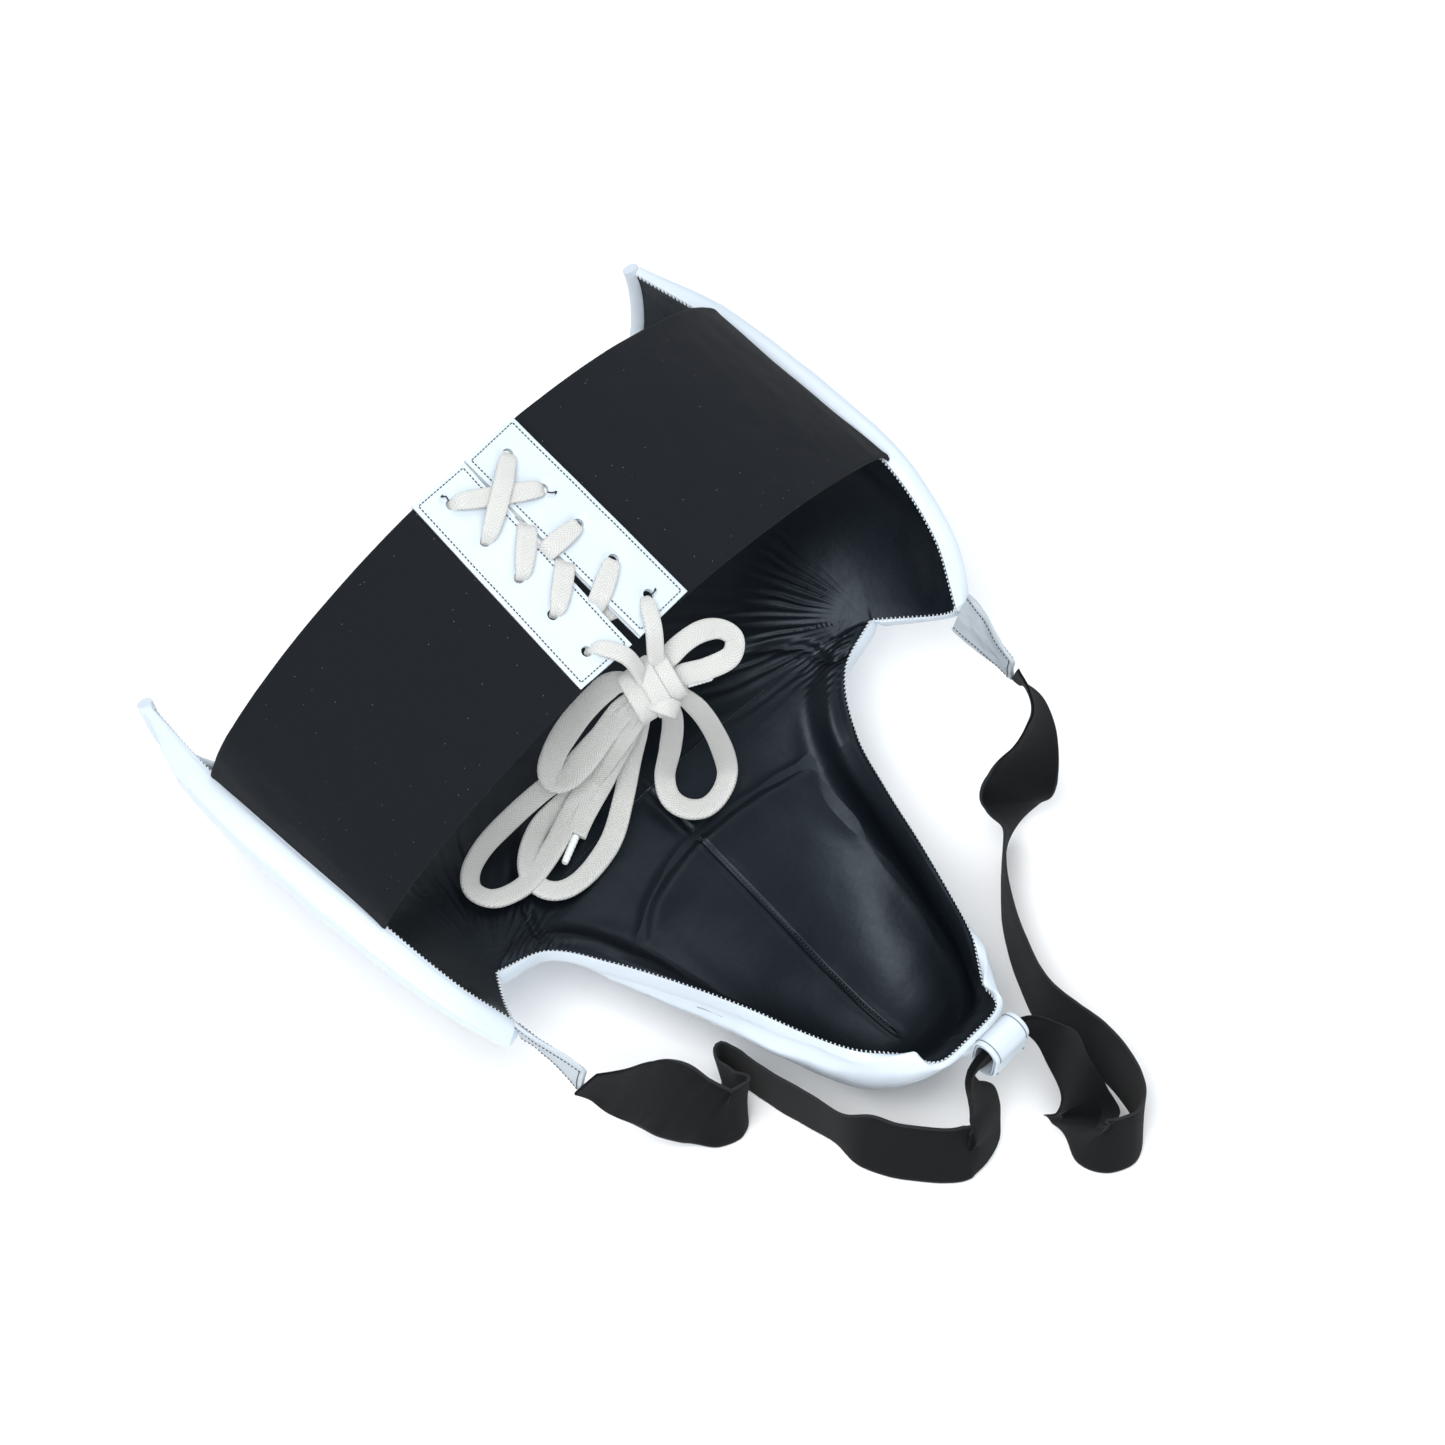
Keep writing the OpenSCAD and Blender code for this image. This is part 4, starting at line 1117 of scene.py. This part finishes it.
def tab(side):
    """A leather tab that twists upright towards the strap, with stitches on both faces."""
    n, m = 80, 40
    s, w = np.meshgrid(np.linspace(0, 1, n), np.linspace(-1, 1, m), indexing="ij")
    x, run, z = TAB_ROOT
    centre = to_frame(np.stack([side * (x - 4 * s), run + 42 * s, z - 7 * s], -1))
    twist = step(s, 0.1, 1)[..., None]
    at_root, at_end = np.array([-side * 0.35, 0, -0.94]), np.array([0.0 if side < 0 else 0.15, 0, -0.98])
    wide = unit(at_root * (1 - twist) + at_end * twist)
    thin = unit(np.cross([0, -1, -0.16], wide))
    halfw = (28 - 4 * s) / 2 * np.where(s > 0.93, 1 - ((s - 0.93) / 0.07) ** 2 * 0.12, 1)
    mid = centre + wide * (w * halfw)[..., None]
    bow = 0.9 * np.sin(s * 3.1) + 0.8 * fbm(s * 3, w * 1.4, 91 if side > 0 else 92)
    edge = 1 - 0.45 * np.exp(-((1 - np.abs(w)) / 0.05) ** 2)
    top = mid + thin * (bow + TAB_T / 2 * edge)[..., None]
    low = mid + thin * (bow - TAB_T / 2 * edge)[..., None]
    node = f"{side_name(side)}_tab"
    obj = shell(f"{node}_v", top, low, TAB, None, 40)
    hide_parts(node)
    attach(obj, node)
    down, cross, row = np.arange(2, n - 2, 4), slice(5, m - 5, 3), n - 6
    rows = []
    for col, out in ((4, 1), (m - 5, 1), (4, -1), (m - 5, -1)):
        face = (top if out > 0 else low)[:, col]
        rows.append((face[down], np.gradient(face, axis=0)[down], thin[down, col] * out))
    for out in (1, -1):
        face = (top if out > 0 else low)[row]
        rows.append((face[cross], np.gradient(face, axis=0)[cross], thin[row, cross] * out))
    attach(stitches(f"{node}_stitches", *stacked(rows), 1.4, 0.3, THREAD_DARK), node)


tab(-1)
tab(1)

# Strap: x, run, z, the direction of its width, and its width and thickness
LEAN = (0.14, 0.22, 0.96)
LEAN_OUT = (-0.12, 0.2, 0.97)
STRAP_W, STRAP_T, REST_Z = 44.0, 1.9, 22.0


def standing(x, run):
    """On its edge on the floor."""
    return (x, run, REST_Z, *LEAN, STRAP_W, STRAP_T)


def beside(x, run):
    """On its edge, leaning away from the guard."""
    return (x, run, REST_Z, *LEAN_OUT, STRAP_W, STRAP_T)


STRAP_LEFT = [
    (-171, 296.5, 98, 0.0, 0, 1, 22, 2), (-160, 304, 90, 0.2, 0, 0.97, 28, 2),
    (-147, 309, 76, 0.2, 0.1, 0.95, 38, 2), (-132, 316, 58, 0.1, 0.2, 0.95, 44, 2),
    (-121, 325, 38, *LEAN, 44, 2), (-111, 334, 26, *LEAN, 44, 2), standing(-104, 341), standing(-95, 344),
    standing(-87, 341), beside(-86, 332), beside(-86, 323), beside(-81, 319), beside(-76, 327),
    beside(-74, 341), beside(-72, 356), beside(-69, 373), beside(-66, 390), standing(-61, 404),
    standing(-55, 418), standing(-46, 431), standing(-37, 441), standing(-28, 447),
    (-20, 449, 24, -0.1, 0.1, 0.96, 40, 2), (-15, 446, 36, -0.6, 0, 0.7, 30, 2),
    (-16, 441, 54, -0.95, -0.1, 0.2, 24, 2), (-21, 437, 70, -0.9, -0.3, 0.2, 13.6, 3),
    (-22, 434, 83, -0.5, -0.3, 0.7, 13.6, 4), (-15, 434, 91, 0, 0, 1, 13.6, 4.8),
    (0, 434.5, 91, 0, 0, 1, 13.6, 4.8)]
STRAP_RIGHT = [
    (0, 434.5, 91, 0, 0, 1, 13.6, 4.8), (14, 434.5, 91, 0, 0, 1, 13.6, 4),
    (21, 440, 90, 0.5, -0.1, 0.8, 13.6, 3), (26, 449, 83, 0.8, -0.1, 0.5, 17.6, 2),
    (30, 457, 70, 0.9, 0.2, 0.2, 26, 2), (32, 465, 52, 0.9, 0.3, 0.1, 30, 2),
    (30, 473, 37, 0.8, 0.3, 0.5, 36, 2), (25, 481, 27, 0.4, 0.3, 0.85, 44, 2), standing(22, 491),
    standing(28, 500), standing(40, 505), standing(52, 500), standing(60, 489), standing(65, 474),
    standing(67, 457), standing(66, 439), standing(67, 420), standing(74, 401), standing(85, 381),
    standing(98, 364), standing(113, 349), (128, 337, 24, *LEAN, 44, 2),
    (140, 330, 33, 0, 0.4, 0.9, 44, 2), (150, 327, 50, -0.3, 0.5, 0.7, 44, 2),
    (161, 322, 67, -0.4, 0.3, 0.8, 38, 2), (168, 315, 84, -0.4, 0.1, 0.9, 30, 2),
    (170, 306, 95, -0.35, 0, 0.94, 24, 2), (171, 296.5, 97.5, -0.15, 0, 0.98, 22, 2)]


def strap(name, table):
    """A smooth ribbon along a table of rows, kept above the floor; gives back its path too."""
    rows = np.array(table, float)
    rows[:, :3] = to_frame(rows[:, :3])
    p = curve(rows, 420)
    wide = unit(p[:, 3:6])
    low = p[:, 2] - p[:, 6] / 2 * np.abs(wide[:, 2])
    p[:, 2] -= np.minimum(low - 0.1, 0)
    wave = 0.5 * lattice(np.arange(len(p)) / 18.0, np.zeros(len(p)), 95)
    path = p[:, :3] + np.cross(unit(np.gradient(p[:, :3], axis=0)), wide) * wave[:, None]
    obj = sweep(name, path, wide, p[:, 6], p[:, 7], ribbon_profile(), STRAP, 40)
    return obj, (path * MM).tolist()


left_strap, left_path = strap("left_strap", STRAP_LEFT)
right_strap, right_path = strap("right_strap", STRAP_RIGHT)
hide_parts("leg_strap")
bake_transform(left_strap, "left_tab", "guard", left_path[0], left_path[60])
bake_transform(right_strap, "right_tab", "guard", right_path[-1], right_path[-60])

KEEPER = to_frame([0, 434.5, 91])
KEEPER_IN = (11.0, 22.0)
KEEPER_W, KEEPER_T = 26.0, 1.4


def stadium_loop(grow, k=96):
    """Loop round the strap in the plane across it: (y, z) offsets."""
    w, h = KEEPER_IN[0] + 2 * grow, KEEPER_IN[1] + 2 * grow
    q = 2 * np.pi * np.arange(k) / k
    y = w / 2 * np.cos(q)
    z = w / 2 * np.sin(q) + np.sign(np.sin(q)) * (h - w) / 2
    return np.stack([y, z], -1)


def keeper(node, grow, material):
    """One layer of the loop, so far out from its inside; gives back the rings of its outer face."""
    n = 40
    i = np.arange(n)
    soften = 0.35 * np.exp(-np.minimum(i, n - 1 - i) / 1.5)
    bulge = 0.25 * np.sin(np.pi * i / (n - 1))
    inner, outer = [], []
    for x, soft, out in zip(np.linspace(-KEEPER_W / 2, KEEPER_W / 2, n), soften, bulge):
        for rings, size in ((inner, grow + soft), (outer, grow + KEEPER_T - soft + out)):
            loop = stadium_loop(size)
            rings.append(KEEPER + np.column_stack([np.full(len(loop), x), loop]))
    verts = np.concatenate(inner + outer)
    idx = np.arange(len(verts) // 2).reshape(n, -1)
    nxt = np.roll(idx, -1, axis=1)
    off = len(verts) // 2
    quads = [np.stack([idx[:-1], idx[1:], nxt[1:], nxt[:-1]], -1),
             np.stack([idx[:-1], nxt[:-1], nxt[1:], idx[1:]], -1) + off,
             np.stack([idx[0], nxt[0], nxt[0] + off, idx[0] + off], -1),
             np.stack([idx[-1] + off, nxt[-1] + off, nxt[-1], idx[-1]], -1)]
    faces = np.concatenate([q.reshape(-1, 4) for q in quads]).tolist()
    obj = mesh_object(f"{node}_v", verts, faces, material, None, 40)
    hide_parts(node)
    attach(obj, "keeper")
    return outer


def keeper_tail():
    """The sewn end of the keeper, from its lower side down over the crotch tip."""
    section = [(0, 427.4, 95), (0, 426.2, 90), (0, 424.6, 84), (0, 422.6, 78.5), (0, 420.2, 73.5),
               (0, 418, 69)]
    path = curve(to_frame(section), 40)
    s = np.linspace(0, 1, len(path))
    width = 24 - 3 * s + 0.5 * np.sin(s * 9)
    side = np.tile([1.0, 0, 0], (len(path), 1))
    obj = sweep("keeper_tail", path, side, width, 2.6, ribbon_profile(28), WHITE, 50)
    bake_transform(obj, "keeper", "guard", (path[6] * MM).tolist(), (path[34] * MM).tolist())


def ring_stitches(ring):
    """Every second point of a ring round the keeper, with its direction and its normal."""
    away = (ring - KEEPER) * [0, 1, 1]
    return ring[::2], (np.roll(ring, -1, axis=0) - ring)[::2], unit(away)[::2]


keeper("keeper_inner", 0.0, GREY)
outer_rings = keeper("keeper_outer", 1.5, WHITE)
keeper_tail()
rows = [ring_stitches(outer_rings[k]) for k in (4, 35)]
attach(stitches("keeper_stitches", *stacked(rows), 1.2, 0.3, THREAD_GREY), "keeper")


# ---- edge stitching and seams on the body ----
def along_edge(points, normal, out, pitch):
    """Evenly spaced samples of an edge curve with its normal and outward direction."""
    so_far = lengths(points)
    at = np.arange(pitch / 2, so_far[-1], pitch)
    return [np.column_stack([np.interp(at, so_far, v[:, k]) for k in range(3)])
            for v in (points, normal, out)]


def whip_stitches(pitch=2.4):
    """Short stitches over the edge all round the guard, where lining and leather meet."""
    sets = []
    for col, sign in ((0, -1), (-1, 1)):
        for g, n, face in ((GW, NW, FACE_W), (GC, NC, FACE_C)):
            out = unit(np.gradient(g, axis=1))[:, col] * sign
            sets.append(along_edge(face[:, col], -n[:, col], out, pitch))
    for leg in (AW[0] <= -LEG_SHARE, AW[0] >= LEG_SHARE):
        out = unit(np.gradient(GW, axis=0))[-1][leg]
        sets.append(along_edge(FACE_W[-1][leg], -NW[-1][leg], out, pitch))
    sets.append(along_edge(FACE_C[-1], -NC[-1], unit(np.gradient(GC, axis=0))[-1], pitch))
    p, n, out = stacked(sets)
    obj = stitches("edge_whip_stitches", p, out + n * 0.2, n + out * 0.5, 2.3, 0.42, THREAD_WHITE, 0.1)


def seam_stitches():
    """Thread along the middle seam of the cup's lining."""
    rows = BC[:, MIDDLE] < SEAM_END
    line = FACE_C[rows, MIDDLE]
    p, n, along = along_edge(line, -NC[rows, MIDDLE], np.gradient(line, axis=0), 2.1)
    obj = stitches("centre_seam_stitches", p, along, n, 1.5, 0.3, THREAD_NAVY, 0.1)


whip_stitches()
seam_stitches()

# Everything that belongs to the body and has no place yet rides on it
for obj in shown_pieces():
    if obj.parent is None and "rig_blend" not in obj and obj not in frame["nodes"].values():
        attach(obj, "guard")


# ---- floor and light ----
FLOOR_Z, FLOOR_HALF = -0.0006, 6.0
corners = [(x * FLOOR_HALF, y * FLOOR_HALF, FLOOR_Z) for x, y in ((-1, -1), (1, -1), (1, 1), (-1, 1))]
floor = bpy.data.objects.new("floor", bpy.data.meshes.new("floor"))
floor.data.from_pydata(corners, [], [[0, 1, 2, 3]])
scene.collection.objects.link(floor)
floor_material, _, floor_shader = node_tree("floor")
dress(floor_shader, base_color=(0.93, 0.93, 0.93, 1), roughness=0.9, specular_ior_level=0.1)
floor.data.materials.append(floor_material)


def area(name, loc, size, power, colour):
    """A rectangular lamp that faces the guard."""
    light = bpy.data.lights.new(name, "AREA")
    light.shape = "RECTANGLE"
    light.size, light.size_y = size
    light.energy = power
    light.color = colour
    obj = bpy.data.objects.new(name, light)
    obj.location = loc
    obj.rotation_euler = (Vector(CAM_AT) - Vector(loc)).to_track_quat("-Z", "Y").to_euler()
    scene.collection.objects.link(obj)
    return obj


def world_at(right, up, back):
    """A place round the camera's aim, in metres across, up and towards the camera."""
    return tuple(CAM_AT + right * RIGHT + up * UP + back * BACK)


area("key", world_at(-0.4, 0.4, 2.4), (1.3, 1.3), 50, (1.0, 1.0, 1.0))
area("top", world_at(0.7, 1.9, 0.9), (1.6, 1.0), 14, (0.93, 0.97, 1.0))
front = area("front", world_at(0.3, -1.0, 2.0), (1.6, 1.6), 18, (0.97, 0.985, 1.0))
front.visible_glossy = False
world = bpy.data.worlds.new("world")
scene.world = world
world.use_nodes = True
world.node_tree.nodes["Background"].inputs[0].default_value = (0.93, 0.965, 1.0, 1)
world.node_tree.nodes["Background"].inputs[1].default_value = 0.55
scene.view_settings.view_transform = "Standard"
